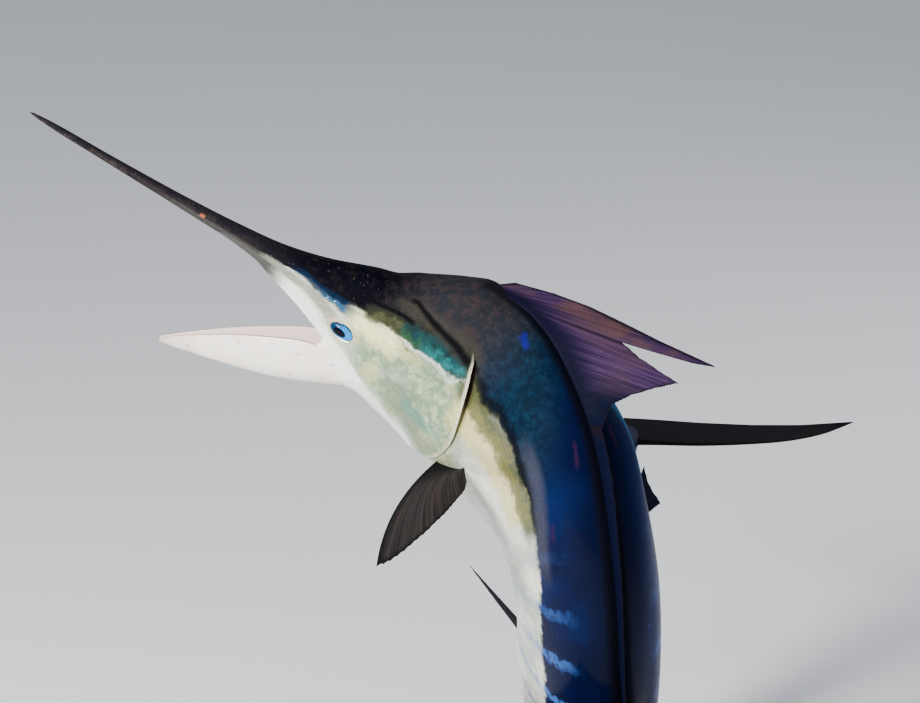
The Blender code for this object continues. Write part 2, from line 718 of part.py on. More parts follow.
def make_pectoral(name, side, body, nodes, cutters):
    """A sickle-shaped fin: rays that fan out from a short root, cut off where it meets the flank."""
    across, on_ray = ray_columns(RAYS["pectoral"])
    (s0, a0), (s1, a1) = PECTORAL_ROOT
    _, tailward, back, right = frame_at((s0 + s1) / 2)
    aim = PECTORAL_AIM[side]
    reach = unit(right * side * aim[0] + back * aim[1] + tailward * aim[2])
    first, _ = on_skin(s0, side_angle(side, a0))
    last, _ = on_skin(s1, side_angle(side, a1))
    chord = unit((last - first) - reach * ((last - first) @ reach))
    flat = np.cross(reach, chord)
    upper, lower = [], []
    for t in np.linspace(0, 1, PECTORAL_ROWS):
        row_up, row_low = [], []
        for j, share in enumerate(across):
            station, degrees = s0 + (s1 - s0) * share, a0 + (a1 - a0) * share
            root, normal = on_skin(station, side_angle(side, degrees))
            far, behind = table_at(PECTORAL_RAYS, share)
            end = first + reach * far + chord * behind
            bow = PECTORAL_BOW * (1 - 0.7 * share) * 4 * t * (1 - t)
            point = root - normal * PECTORAL_SUNK * (1 - t) + (end - root) * t - chord * bow
            half = flat * fin_thickness(*PECTORAL_THICK, t ** 0.7, on_ray[j]) / 2
            row_up.append(point + half)
            row_low.append(point - half)
        upper.append(row_up)
        lower.append(row_low)
    fin = add_object(name, sheet(name, np.array(upper), np.array(lower)), "fin", nodes)
    for length in ("head", "trunk_front"):
        cut_away(fin, grown_copy(body[length], GAP, cutters))


def make_pelvic(name, side, nodes):
    """A thin blade along the belly, its root against the skin and its tip a little below."""
    rings = []
    for t in np.linspace(0, 1, PELVIC_RINGS):
        station = PELVIC_START + (PELVIC_END - PELVIC_START) * t
        belly, _ = on_skin(station, BELLY_SIDE)
        _, _, back, right = frame_at(station)
        taper = 1 - 0.78 * t ** 1.5
        drop = PELVIC_CLEAR + PELVIC_DROP * ease(t, 0.1, 1.0) + PELVIC_THICK / 2
        centre = belly - back * drop + right * side * (PELVIC_SIDE + PELVIC_SPREAD * t)
        wide, thick = PELVIC_WIDTH / 2 * taper, PELVIC_THICK / 2 * taper
        turns = np.arange(PELVIC_POINTS) * math.tau / PELVIC_POINTS
        rings.append([centre + right * wide * math.cos(a) + back * thick * math.sin(a) for a in turns])
    add_object(name, loft(name, rings), "fin", nodes)


def make_caudal(name, way, nodes):
    """One lobe of the tail fin, from the end of the stem out to its tip."""
    across, on_ray = ray_columns(RAYS["caudal"])
    end, tailward, back, right = frame_at(CAUDAL_AT)
    start = end + tailward * GAP / 2
    share = np.linspace(0, 1, len(CAUDAL_LEAD))
    upper, lower = [], []
    for row in range(CAUDAL_ROWS + 1):
        t = (row / CAUDAL_ROWS) ** 0.85
        lead = smooth_curve(share, CAUDAL_LEAD, t)[0]
        trail = np.array([np.interp(t, share, np.array(CAUDAL_TRAIL)[:, k]) for k in (0, 1)])
        row_up, row_low = [], []
        for j, cross in enumerate(across):
            behind, high = lead + (trail - lead) * cross
            point = start + tailward * (behind + GAP) + back * way * max(high, GAP)
            half = right * fin_thickness(*CAUDAL_THICK, min(1, t * 1.4) ** 0.6, on_ray[j]) / 2
            row_up.append(point + half)
            row_low.append(point - half)
        upper.append(row_up)
        lower.append(row_low)
    add_object(name, sheet(name, np.array(upper), np.array(lower)), "fin", nodes)


def make_base(nodes):
    """A flat slab with round corners and an eased top edge."""
    shape = bmesh.new()
    bmesh.ops.create_cube(shape, size=1.0)
    for vertex in shape.verts:
        vertex.co = Vector([c * size for c, size in zip(vertex.co, BASE_SIZE)])
        vertex.co.z += BASE_SIZE[2] / 2
    upright = [e for e in shape.edges if abs(e.verts[0].co.z - e.verts[1].co.z) > 0.01]
    bmesh.ops.bevel(shape, geom=upright, offset=BASE_CORNER, segments=6, affect="EDGES", profile=0.5)
    top = [e for e in shape.edges if all(v.co.z > BASE_SIZE[2] - 1e-6 for v in e.verts)]
    bmesh.ops.bevel(shape, geom=top, offset=0.005, segments=2, affect="EDGES", profile=0.5)
    mesh = bpy.data.meshes.new("stand_base")
    shape.to_mesh(mesh)
    shape.free()
    mesh.shade_smooth()
    mesh.set_sharp_from_angle(angle=math.radians(40))
    add_object("stand_base", mesh, "stand", nodes)


def make_rods(body, nodes, cutters):
    """Turned rods with a collar on the base, each cut off where it meets the body."""
    lengths = ("trunk_middle", "trunk_rear", "tail_stock")
    under = [grown_copy(body[name], FIN_GAP, cutters) for name in lengths]
    low = BASE_SIZE[2] + GAP
    for name, x, y in RODS:
        profile = ((0, ROD_TOP), (ROD_RADIUS, ROD_TOP), (ROD_RADIUS, low + COLLAR_HEIGHT * 1.6),
                   (ROD_RADIUS + 0.004, low + COLLAR_HEIGHT), (COLLAR_RADIUS, low + COLLAR_HEIGHT),
                   (COLLAR_RADIUS, low), (0, low))
        mesh = bpy.data.meshes.new(name)
        edges = [(k, k + 1) for k in range(len(profile) - 1)]
        mesh.from_pydata([(r, 0, z) for r, z in profile], edges, [])
        rod = add_object(name, mesh, "steel", nodes)
        rod.location = (x, y, 0)
        turned = rod.modifiers.new("turned", "SCREW")
        turned.steps = turned.render_steps = 24
        turned.use_merge_vertices = True
        turned.merge_threshold = 0.0001
        bpy.context.view_layer.update()
        seen = rod.evaluated_get(bpy.context.evaluated_depsgraph_get())
        rod.modifiers.remove(turned)
        rod.data = bpy.data.meshes.new_from_object(seen)
        for cutter in under:
            cut_away(rod, cutter)


def main():
    clear_scene()
    nodes = new_collection("striped_marlin")
    cutters = new_collection("cutters")
    body = make_body(nodes)
    make_lower_jaw(body["head"], nodes, cutters)
    make_eyes(body["head"], nodes, cutters)
    make_nostrils(body["head"], cutters)
    make_gill_covers(nodes)
    make_midline_fins(nodes)
    make_pectoral("pectoral_left", LEFT, body, nodes, cutters)
    make_pectoral("pectoral_right", RIGHT, body, nodes, cutters)
    make_pelvic("pelvic_left", LEFT, nodes)
    make_pelvic("pelvic_right", RIGHT, nodes)
    make_caudal("caudal_upper", 1, nodes)
    make_caudal("caudal_lower", -1, nodes)
    make_base(nodes)
    make_rods(body, nodes, cutters)


main()
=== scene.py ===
import math

import bpy
import numpy as np
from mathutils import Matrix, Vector


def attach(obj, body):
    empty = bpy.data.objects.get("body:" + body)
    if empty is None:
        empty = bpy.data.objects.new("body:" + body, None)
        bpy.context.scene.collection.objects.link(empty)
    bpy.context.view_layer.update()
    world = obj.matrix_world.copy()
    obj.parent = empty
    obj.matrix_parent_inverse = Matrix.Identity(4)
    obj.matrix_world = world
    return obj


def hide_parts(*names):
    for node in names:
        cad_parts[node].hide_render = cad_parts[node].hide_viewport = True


# A striped marlin in a leap, as a still, life-size model on a display stand.
# Metres, +Z up. Stations run along the fish from the tip of the bill.

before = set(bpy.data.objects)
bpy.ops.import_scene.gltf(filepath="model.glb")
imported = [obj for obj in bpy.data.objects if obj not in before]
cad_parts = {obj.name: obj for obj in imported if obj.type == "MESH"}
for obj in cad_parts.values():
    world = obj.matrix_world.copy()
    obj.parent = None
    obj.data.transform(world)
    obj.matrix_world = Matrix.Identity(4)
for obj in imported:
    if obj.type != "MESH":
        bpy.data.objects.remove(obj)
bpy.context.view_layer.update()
bpy.ops.object.select_all(action="DESELECT")
print("frame loaded")

rightSide, leftSide = 1, -1
sides = {"left": leftSide, "right": rightSide}


def hermite(t, first, leaving, last, arriving):
    # a curve between two places, with the directions in which it leaves and arrives
    return (first * (2 * t**3 - 3 * t**2 + 1) + leaving * (t**3 - 2 * t**2 + t)
            + last * (3 * t**2 - 2 * t**3) + arriving * (t**3 - t**2))


def smoothCurve(table, at):
    rows = np.asarray(table, float)
    xs, ys = rows[:, 0], rows[:, 1:]
    at = np.atleast_1d(np.asarray(at, float))
    gap = np.diff(xs)[:, None]
    slope = np.diff(ys, axis=0) / gap
    tangent = np.zeros_like(ys)
    tangent[0], tangent[-1] = slope[0], slope[-1]
    tangent[1:-1] = (slope[:-1] * gap[1:] + slope[1:] * gap[:-1]) / (gap[1:] + gap[:-1])
    row = np.clip(np.searchsorted(xs, at, side="right") - 1, 0, len(xs) - 2)
    reach = gap[row]
    return hermite((at - xs[row])[:, None] / reach, ys[row], reach * tangent[row],
                   ys[row + 1], reach * tangent[row + 1])


def straightCurve(table, at):
    rows = np.asarray(table, float)
    return np.stack([np.interp(at, rows[:, 0], rows[:, k]) for k in range(1, rows.shape[1])], axis=-1)


def unit(vectors):
    return vectors / np.linalg.norm(vectors, axis=-1, keepdims=True)


def ease(value, start, end):
    t = np.clip((np.asarray(value, float) - start) / (end - start), 0, 1)
    return t * t * (3 - 2 * t)


def span(value, rise, fall):
    # 1 between a rise and a fall, each given by its start and its end
    return ease(value, *rise) * (1 - ease(value, *fall))


def hill(value, centre, width):
    return np.exp(-((value - centre) / width) ** 2)


def mix(pair, share):
    return pair[0] + (pair[1] - pair[0]) * share


spine = {
    "billTip": (-0.87, -0.018, 1.267),
    "backAtTip": (0.49, -0.088, 0.867),
    "step": 0.005,
    "end": 2.85,
    # station, heading x, y, z, twist of the back in degrees
    "rows": (
        (0.0, 0.857, -0.133, -0.498, 0), (0.5, 0.857, -0.133, -0.498, 0),
        (0.7, 0.848, -0.166, -0.503, 3), (0.85, 0.782, -0.277, -0.566, 14),
        (1.0, 0.6, -0.334, -0.728, 34), (1.15, 0.3, -0.144, -0.94, 52),
        (1.3, 0.055, 0.265, -0.962, 58), (1.45, -0.02, 0.651, -0.758, 50),
        (1.6, 0.0, 0.915, -0.402, 38), (1.75, 0.05, 1.0, -0.01, 25),
        (1.9, 0.1, 0.94, 0.345, 14), (2.1, 0.125, 0.855, 0.545, 4),
        (2.3, 0.11, 0.92, 0.42, -2), (2.45, 0.1, 0.98, 0.213, -4),
        (2.85, 0.1, 0.993, 0.106, -4),
    ),
}


def buildSpine():
    stations = np.arange(0.0, spine["end"], spine["step"])
    read = smoothCurve(spine["rows"], stations)
    heading, twist = unit(read[:, :3]), np.radians(read[:, 3])
    point = np.zeros_like(heading)
    point[1:] = np.cumsum((heading[1:] + heading[:-1]) / 2 * spine["step"], axis=0)
    point += np.array(spine["billTip"])
    back = np.zeros_like(heading)
    carried = np.array(spine["backAtTip"])
    for k, ahead in enumerate(heading):
        carried = unit(carried - ahead * (carried @ ahead))
        right = np.cross(-ahead, carried)
        back[k] = carried * math.cos(twist[k]) - right * math.sin(twist[k])
    return stations, point, heading, back


spineLine = buildSpine()


def frameAt(station):
    # the spine's point, and the directions to the tail, the back and the right
    station = np.asarray(station, float)
    point, tailward, back = [
        np.stack([np.interp(station, spineLine[0], part[:, k]) for k in range(3)], axis=-1)
        for part in spineLine[1:]]
    tailward = unit(tailward)
    back = unit(back - tailward * (back * tailward).sum(axis=-1, keepdims=True))
    return point, tailward, back, np.cross(-tailward, back)


def placeAt(station, side, height):
    point, _, back, right = frameAt(station)
    return point + right * np.asarray(side)[..., None] + back * np.asarray(height)[..., None]


body = {
    # station, half sizes: up to the back, down to the belly, out to the side
    "rows": (
        (0.0, 0.0015, 0.0015, 0.0015), (0.02, 0.0035, 0.003, 0.004),
        (0.15, 0.0075, 0.006, 0.0085), (0.3, 0.013, 0.0085, 0.0135),
        (0.4, 0.02, 0.012, 0.019), (0.47, 0.028, 0.022, 0.027),
        (0.54, 0.045, 0.042, 0.037), (0.62, 0.075, 0.076, 0.051),
        (0.69, 0.102, 0.108, 0.067), (0.76, 0.144, 0.135, 0.082),
        (0.82, 0.171, 0.15, 0.092), (0.88, 0.185, 0.165, 0.1),
        (0.96, 0.191, 0.178, 0.108), (1.06, 0.19, 0.186, 0.114),
        (1.18, 0.183, 0.185, 0.115), (1.3, 0.174, 0.176, 0.112),
        (1.45, 0.156, 0.158, 0.104), (1.6, 0.137, 0.137, 0.092),
        (1.78, 0.111, 0.111, 0.075), (1.96, 0.084, 0.085, 0.058),
        (2.14, 0.059, 0.059, 0.043), (2.3, 0.041, 0.04, 0.032),
        (2.42, 0.034, 0.034, 0.023), (2.47, 0.036, 0.036, 0.011),
        (2.52, 0.033, 0.033, 0.002),
    ),
    "flankFullness": 0.9,
    "jawSquareness": 0.55,
    "squareAlong": ((0.42, 0.5), (0.7, 0.8)),
    # first station, last station, rings: closer where the head has its detail
    "stretches": ((0.0, 0.42, 66), (0.42, 0.95, 238), (0.95, 1.2, 62), (1.2, 2.28, 140),
                  (2.28, 2.52, 60)),
    "columns": 156,
    "flankCrowding": 0.34,
    # station and depth of the mouth's roof
    "roof": ((0.42, 0.0), (0.46, 0.006), (0.54, 0.018), (0.62, 0.034), (0.7, 0.046), (0.745, 0.0)),
    "roofSpread": 34,
    "mouthAlong": ((0.44, 0.48), (0.68, 0.72)),
    "mouthPinch": 0.12,
    "palateFolds": {"rise": 0.0012, "spacing": 0.014},
    "lip": {"angle": 43, "width": 6, "rise": 0.0034},
    "lipGroove": {"angle": 57, "width": 4, "rise": -0.0024},
    "keels": {"along": ((2.33, 2.4), (2.435, 2.49)), "rise": 0.0095, "angle": 15, "width": 5},
    "finSheath": {"along": ((0.79, 0.84), (1.99, 2.09)), "rise": 0.0014, "off": 0.01, "width": 0.006},
    # the nape rises from a shallow dip behind the head, and again to the foot of the back fin
    "nape": {"along": ((0.655, 0.695), (0.785, 0.85)), "rise": 0.0052, "above": (30, 70)},
    "napeDip": {"at": 0.652, "width": 0.018, "rise": -0.0016, "above": (30, 70)},
    "finStart": {"at": 0.792, "width": 0.024, "rise": 0.0042, "above": (55, 84)},
    # full muscle of the shoulder, on both sides of the back fin
    "shoulder": {"at": 1.052, "width": 0.075, "rise": 0.0105, "above": 46, "spread": 24},
}


def halfSizes(station):
    station = np.asarray(station, float)
    return smoothCurve(body["rows"], station.ravel()).reshape(station.shape + (3,))


def sectionAt(station, degrees):
    # side, height and degrees above the side line of the plain skin: 0 is the right flank, 90 the back
    up, down, out = np.moveaxis(halfSizes(station), -1, 0)
    cosine, sine = np.cos(np.radians(degrees)), np.sin(np.radians(degrees))
    side = out * np.sign(cosine) * np.abs(cosine) ** body["flankFullness"]
    square = body["jawSquareness"] * span(station, *body["squareAlong"])
    share = np.where(sine > 0, sine, -np.abs(sine) ** (1 - square))
    return side, share * np.where(sine > 0, up, down), np.degrees(np.arcsin(np.clip(share, -1, 1)))


def plainSkin(station, degrees):
    side, height, _ = sectionAt(station, degrees)
    return placeAt(station, side, height)


def onSkin(station, degrees):
    # a point of the plain skin and the way out of the body there
    station, degrees = np.broadcast_arrays(np.asarray(station, float), np.asarray(degrees, float))
    along = plainSkin(station + 0.001, degrees) - plainSkin(station - 0.001, degrees)
    around = plainSkin(station, degrees + 0.5) - plainSkin(station, degrees - 0.5)
    return plainSkin(station, degrees), unit(np.cross(around, along))


def flankAngle(side, degrees):
    return degrees if side == rightSide else 180 - np.asarray(degrees, float)


def skinAxes(station, degrees):
    point, out = onSkin(station, degrees)
    tailward = frameAt(station)[1]
    along = unit(tailward - out * (tailward * out).sum(axis=-1, keepdims=True))
    return point, along, np.cross(out, along), out


def deselectAll():
    if bpy.context.object and bpy.context.object.mode != "OBJECT":
        bpy.ops.object.mode_set(mode="OBJECT")
    bpy.ops.object.select_all(action="DESELECT")


def selectOnly(piece):
    deselectAll()
    bpy.context.view_layer.objects.active = piece
    piece.select_set(True)


meshing = {"mergeWithin": 0.00001, "creaseAngle": 50}


def tidyMesh(piece):
    selectOnly(piece)
    bpy.ops.object.mode_set(mode="EDIT")
    bpy.ops.mesh.select_all(action="SELECT")
    bpy.ops.mesh.remove_doubles(threshold=meshing["mergeWithin"])
    bpy.ops.mesh.normals_make_consistent(inside=False)
    bpy.ops.object.mode_set(mode="OBJECT")
    bpy.ops.object.shade_smooth()
    return piece


def vertexPlaces(mesh):
    flat = np.zeros(len(mesh.vertices) * 3)
    mesh.vertices.foreach_get("co", flat)
    return flat.reshape(-1, 3)


def addMark(mesh, name, values):
    layer = mesh.attributes.new(name, "FLOAT", "POINT")
    layer.data.foreach_set("value", np.ascontiguousarray(values, dtype=np.float32))


def gridPiece(name, points, marks):
    # a flat grid is added, and each of its vertices is carried to its place
    rows, columns = points.shape[:2]
    deselectAll()
    bpy.ops.mesh.primitive_grid_add(x_subdivisions=columns - 1, y_subdivisions=rows - 1, size=1)
    piece = bpy.context.active_object
    piece.name = piece.data.name = name
    mesh = piece.data
    flat = vertexPlaces(mesh)
    column = np.rint((flat[:, 0] + 0.5) * (columns - 1)).astype(int)
    row = np.rint((flat[:, 1] + 0.5) * (rows - 1)).astype(int)
    mesh.vertices.foreach_set("co", points[row, column].ravel())
    for mark, values in marks.items():
        addMark(mesh, mark, values[row, column])
    mesh.update()
    return piece, row, column


def tubePiece(name, rings, marks):
    # closed at both ends by drawing the first and the last ring together
    rings[0], rings[-1] = rings[0].mean(axis=0), rings[-1].mean(axis=0)
    return tidyMesh(gridPiece(name, rings, marks)[0])


def sheetPiece(name, points, thick, marks):
    # a thin sheet given its wall by Solidify, thick where the vertex group says
    piece, row, column = gridPiece(name, points, marks)
    most = float(thick.max())
    group = piece.vertex_groups.new(name="wall")
    share = np.round(thick[row, column] / most, 3)
    for value in np.unique(share):
        group.add([int(k) for k in np.nonzero(share == value)[0]], float(value), "REPLACE")
    tidyMesh(piece)
    selectOnly(piece)
    wall = piece.modifiers.new("wall", "SOLIDIFY")
    wall.thickness, wall.offset, wall.vertex_group = most, 0, "wall"
    wall.use_rim, wall.use_even_offset = True, False
    bpy.ops.object.modifier_apply(modifier=wall.name)
    selectOnly(piece)
    bpy.ops.object.shade_smooth_by_angle(angle=math.radians(meshing["creaseAngle"]))
    return piece


def gridNormals(points, spot, outward):
    # a grid's normals, on the side that outward lies on at one spot
    normals = np.cross(np.gradient(points, axis=1), np.gradient(points, axis=0))
    normals = normals / np.maximum(np.linalg.norm(normals, axis=-1, keepdims=True), 1e-12)
    return normals if (normals[spot] * outward).sum() > 0 else -normals


eye = {
    "at": 0.629,
    "angle": -7,
    "radii": (0.031, 0.0152, 0.012),      # along, up, out
    "proud": 0.0036,
    "seen": 0.74,                           # share of the radii that shows between the lids
    "socketDepth": 0.008,
    "socketReach": 0.03,
    # rings of skin round it, in shares of the opening: rise, radius, half width
    "lids": ((0.0014, 1.14, 0.14), (0.001, 1.6, 0.25)),
    "tint": (1.24, 0.26),
    "pupil": {"forward": 0.0022, "down": 0.0026, "radius": 0.0066, "long": 0.52},
}

nostrils = {"rows": ((0.576, 6, 0.0036), (0.59, 8, 0.0045)), "depth": 0.0042}

# Furrows in the head's skin: station and degrees above the side line, depth and half width
furrows = (
    {"path": ((0.7, 48), (0.732, 40), (0.772, 32), (0.808, 30), (0.852, 28)),
     "depth": 0.0026, "width": 0.0036},
    {"path": ((0.604, 18), (0.632, 24), (0.66, 30), (0.7, 30), (0.73, 27)),
     "depth": 0.0018, "width": 0.0034},
    {"path": ((0.692, -50), (0.708, -31), (0.732, -21), (0.764, -14)), "depth": 0.0022, "width": 0.005},
)

gillCover = {
    # degrees above the side line, front and rear station
    "rows": (
        (36.0, 0.775, 0.832), (33.75, 0.77, 0.842), (22.5, 0.755, 0.866), (11.25, 0.745, 0.882),
        (0.0, 0.74, 0.896), (-11.25, 0.74, 0.905), (-22.5, 0.745, 0.904), (-33.75, 0.755, 0.896),
        (-45.0, 0.765, 0.88), (-56.25, 0.775, 0.858), (-68.0, 0.785, 0.832), (-76.0, 0.79, 0.815),
    ),
    "lift": 0.0058,
    "under": 0.0012,
    "tuck": 0.0016,
    "thick": 0.003,
    "slitDepth": 0.006,
    "slitWidth": (0.022, 0.01),          # ahead of the free edge, behind it
    "slitAcross": ((-78, -66), (28, 36)),   # degrees above the side line
    "looser": (-20, 16),                    # degrees over which it comes away from the body
    "size": (56, 72),
}


def pathDistance(path, station, above, scale):
    # distance in metres from a path over the skin, with its two ends faded
    rows = np.array(path, float)
    fine = np.linspace(0, len(rows) - 1, 40)
    line = np.stack([np.interp(fine, np.arange(len(rows)), rows[:, k]) for k in (0, 1)], axis=-1)
    gap, share = np.full(station.shape, np.inf), np.zeros(station.shape)
    for k, (s, b) in enumerate(line):
        d = np.hypot(station - s, (above - b) * scale)
        near = d < gap
        gap = np.where(near, d, gap)
        share = np.where(near, k / (len(line) - 1), share)
    return gap, np.sin(np.pi * np.clip(share, 0.04, 0.96)) ** 0.4


def finSheath(station, side, above):
    # the low folds of skin that the back fin lies down between
    sheath = body["finSheath"]
    near = hill(np.abs(side), sheath["off"], sheath["width"]) - 0.8 * hill(side, 0, sheath["width"] * 0.8)
    return sheath["rise"] * span(station, *sheath["along"]) * near * (above > 30)


def slitBehindGill(station, degrees):
    # the skin sinks under the free edge of the gill cover
    rows = np.array(gillCover["rows"])[::-1]
    level = np.degrees(np.arcsin(np.sin(np.radians(degrees))))
    rear = np.interp(level, rows[:, 0], rows[:, 2])
    width = np.where(station < rear, *gillCover["slitWidth"])
    deeper = mix((0.25, 1), ease(level, *gillCover["looser"]))
    return hill(station, rear, width) * span(level, *gillCover["slitAcross"]) * deeper


def cutSockets(points, normals):
    # the eyes' sockets and the nostrils, and a mark for the lids
    lids = np.zeros(points.shape[:2])
    for side in sides.values():
        centre, along, up, out = skinAxes(eye["at"], flankAngle(side, eye["angle"]))
        offset = points - centre
        y = (offset @ up) / (eye["radii"][1] * eye["seen"])
        ring = np.hypot((offset @ along) / (eye["radii"][0] * eye["seen"]), y)
        near = (offset @ out) > -eye["socketReach"]
        rise = sum(height * hill(ring, at, width) for height, at, width in eye["lids"])
        rise = rise - eye["socketDepth"] * np.clip(1 - ring ** 2, 0, 1) ** 0.8
        points = points + normals * (rise * near)[..., None]
        lids = np.maximum(lids, hill(ring, *eye["tint"]) * near * ease(y, -0.7, 0.2))
        for at, angle, radius in nostrils["rows"]:
            hole = onSkin(at, flankAngle(side, angle))[0]
            away = np.linalg.norm(points - hole, axis=-1) / radius
            bowl = nostrils["depth"] * np.clip(1 - away ** 2, 0, 1) ** 1.5
            points = points - normals * bowl[..., None]
    return points, lids


def makeSkin():
    stretches = body["stretches"]
    stations = np.concatenate([np.linspace(a, b, n, endpoint=False) for a, b, n in stretches]
                              + [[stretches[-1][1]]])
    turn = np.linspace(-90, 270, body["columns"] + 1)
    angles = turn - np.degrees(body["flankCrowding"] / 2 * np.sin(2 * np.radians(turn)))
    station, degrees = np.meshgrid(stations, angles, indexing="ij")
    side, height, above = sectionAt(station, degrees)
    offBelly = np.abs((degrees + 270) % 360 - 180)
    mouth = span(station, *body["mouthAlong"])
    spread, folds, keels = body["roofSpread"], body["palateFolds"], body["keels"]
    inside = ease(spread - offBelly, 0, spread * 0.6)
    roof = straightCurve(body["roof"], station)[..., 0]
    roof = roof + folds["rise"] * np.sin(station * math.tau / folds["spacing"]) * mouth
    height = height + roof * inside
    side = side * (1 - body["mouthPinch"] * mouth * (offBelly < spread))
    offSide = np.degrees(np.arcsin(np.abs(np.sin(np.radians(degrees)))))
    keel = keels["rise"] * span(station, *keels["along"]) * hill(offSide, keels["angle"], keels["width"])
    side = side + np.sign(np.cos(np.radians(degrees))) * keel
    points = placeAt(station, side, height)
    spot = (300, 40)
    normals = gridNormals(points, spot, points[spot] - frameAt(stations[spot[0]])[0])

    swell = finSheath(station, side, above)
    for part in (body["lip"], body["lipGroove"]):
        swell = swell + part["rise"] * hill(offBelly, part["angle"], part["width"]) * mouth
    nape, shoulder = body["nape"], body["shoulder"]
    swell = swell + nape["rise"] * span(station, *nape["along"]) * ease(above, *nape["above"])
    for part in (body["napeDip"], body["finStart"]):
        swell = swell + part["rise"] * hill(station, part["at"], part["width"]) * ease(above, *part["above"])
    swell = swell + (shoulder["rise"] * hill(station, shoulder["at"], shoulder["width"])
                     * hill(above, shoulder["above"], shoulder["spread"]))
    slit = slitBehindGill(station, degrees)
    swell = swell - gillCover["slitDepth"] * slit
    metresPerDegree = halfSizes(station).mean(axis=-1) * math.radians(1.1)
    for furrow in furrows:
        gap, ends = pathDistance(furrow["path"], station, above, metresPerDegree)
        swell = swell - furrow["depth"] * hill(gap, 0, furrow["width"]) * ends
    points, lids = cutSockets(points + normals * swell[..., None], normals)
    # the slit mark carries painted shade into the slit behind the gill cover
    return tubePiece("marlin_skin", points, {
        "station": station, "above": above, "slit": slit ** 2 * 0.9, "flank": np.cos(np.radians(degrees)),
        "lid": lids})


def makeEye(name, side):
    point, *axes = skinAxes(eye["at"], flankAngle(side, eye["angle"]))
    deselectAll()
    bpy.ops.mesh.primitive_uv_sphere_add(segments=64, ring_count=40, radius=1)
    ball = bpy.context.active_object
    ball.name = ball.data.name = name
    local = vertexPlaces(ball.data)
    centre = point - axes[2] * (eye["radii"][2] - eye["proud"])
    ball.data.vertices.foreach_set("co", (centre + (local * eye["radii"]) @ np.array(axes)).ravel())
    addMark(ball.data, "lookAlong", local[:, 0])
    addMark(ball.data, "lookUp", local[:, 1])
    return tidyMesh(ball)


def makeGillCover(name, side):
    across, down = gillCover["size"]
    rows = np.array(gillCover["rows"])[::-1]
    level = np.linspace(rows[0, 0], rows[-1, 0], down)[:, None]
    front = np.interp(level, rows[:, 0], rows[:, 1])
    rear = smoothCurve(rows[:, (0, 2)], level[:, 0])
    t = np.linspace(0, 1, across)
    station = front + (rear - front) * t
    degrees = flankAngle(side, np.repeat(level, across, axis=1))
    point, out = onSkin(station, degrees)
    held = span(np.linspace(0, 1, down)[:, None], (0, 0.16), (0.9, 1))
    lift = mix((-gillCover["under"], gillCover["lift"]), ease(t, 0.25, 1.0) * held)
    lift = lift * mix((0.42, 1), ease(level, *gillCover["looser"])) - gillCover["tuck"] * ease(t, 0.93, 1.0)
    full = np.ones_like(station)
    return sheetPiece(name, point + out * lift[..., None],
                      gillCover["thick"] * (1 - 0.75 * ease(t, 0.8, 1)) * full,
                      {"station": station, "above": sectionAt(station, degrees)[2],
                       "rim": ease(t, 0.93, 0.97) * held * full})


jaw = {
    "hingeAt": 0.705,
    "hingeDown": 0.096,
    "opened": 23,
    # distance forward of the hinge, half width, rim above, keel below, wall
    "rows": (
        (-0.05, 0.052, 0.012, 0.008, 0.01), (0.0, 0.053, 0.028, 0.011, 0.011),
        (0.05, 0.049, 0.047, 0.019, 0.01), (0.11, 0.042, 0.054, 0.025, 0.009),
        (0.17, 0.034, 0.048, 0.026, 0.008), (0.23, 0.025, 0.038, 0.021, 0.007),
        (0.29, 0.016, 0.024, 0.014, 0.0055), (0.335, 0.009, 0.012, 0.008, 0.004),
        (0.362, 0.003, 0.004, 0.003, 0.0012),
    ),
    "rings": 150,
    "outerPoints": 56,
    "innerPoints": 40,
    "rimPoints": 9,
    "floorFullness": 0.7,
    "tongue": {"rise": 0.25, "width": 0.35},
}


def jawAxes():
    hinge = placeAt(jaw["hingeAt"], 0.0, -jaw["hingeDown"])
    _, tailward, back, right = frameAt(jaw["hingeAt"])
    turn = math.radians(jaw["opened"])
    ahead = -tailward * math.cos(turn) - back * math.sin(turn)
    up = back * math.cos(turn) - tailward * math.sin(turn)
    return hinge, ahead, up, right


def jawBowl(turn, half, rim, depth):
    # side and height of a bowl's section, from one rim at 0 to the other at pi
    return half * np.cos(turn), rim - depth * np.abs(np.sin(turn)) ** jaw["floorFullness"]


def jawSection(half, rim, keel, wall):
    # a closed ring of points: down the outside, round one rim, along the inside, round the other
    tongue = jaw["tongue"]
    outer = np.stack(jawBowl(np.linspace(0, math.pi, jaw["outerPoints"]), half, rim, rim + keel), axis=-1)
    inner = np.stack(jawBowl(np.linspace(math.pi, 0, jaw["innerPoints"]), half - wall, rim,
                             rim + keel - wall * 1.6), axis=-1)
    inner[:, 1] += tongue["rise"] * (rim + keel) * hill(inner[:, 0], 0, half * tongue["width"])
    turn = np.linspace(0, math.pi, jaw["rimPoints"] + 2)[1:-1]
    cap = np.stack([-(half - wall / 2) - wall / 2 * np.cos(turn), rim + wall * 0.35 * np.sin(turn)], axis=-1)
    return np.concatenate([outer, cap, inner, cap[::-1] * (-1, 1), outer[:1]])


def makeJaw():
    hinge, ahead, up, right = jawAxes()
    distance = mix((jaw["rows"][0][0], jaw["rows"][-1][0]), np.linspace(0, 1, jaw["rings"]) ** 0.96)
    flat = np.array([jawSection(*sizes) for sizes in smoothCurve(jaw["rows"], distance)])
    rings = hinge + ahead * distance[:, None, None] + right * flat[..., :1] + up * flat[..., 1:]
    around = np.linspace(0, 1, rings.shape[1])
    edge = jaw["outerPoints"] / (rings.shape[1] - 1)
    shape = rings.shape[:2]
    return tubePiece("lower_jaw_skin", rings, {
        "along": np.broadcast_to(distance[:, None], shape),
        "inside": np.broadcast_to(span(around, (edge, edge + 0.04), (0.93, 0.97)), shape)})


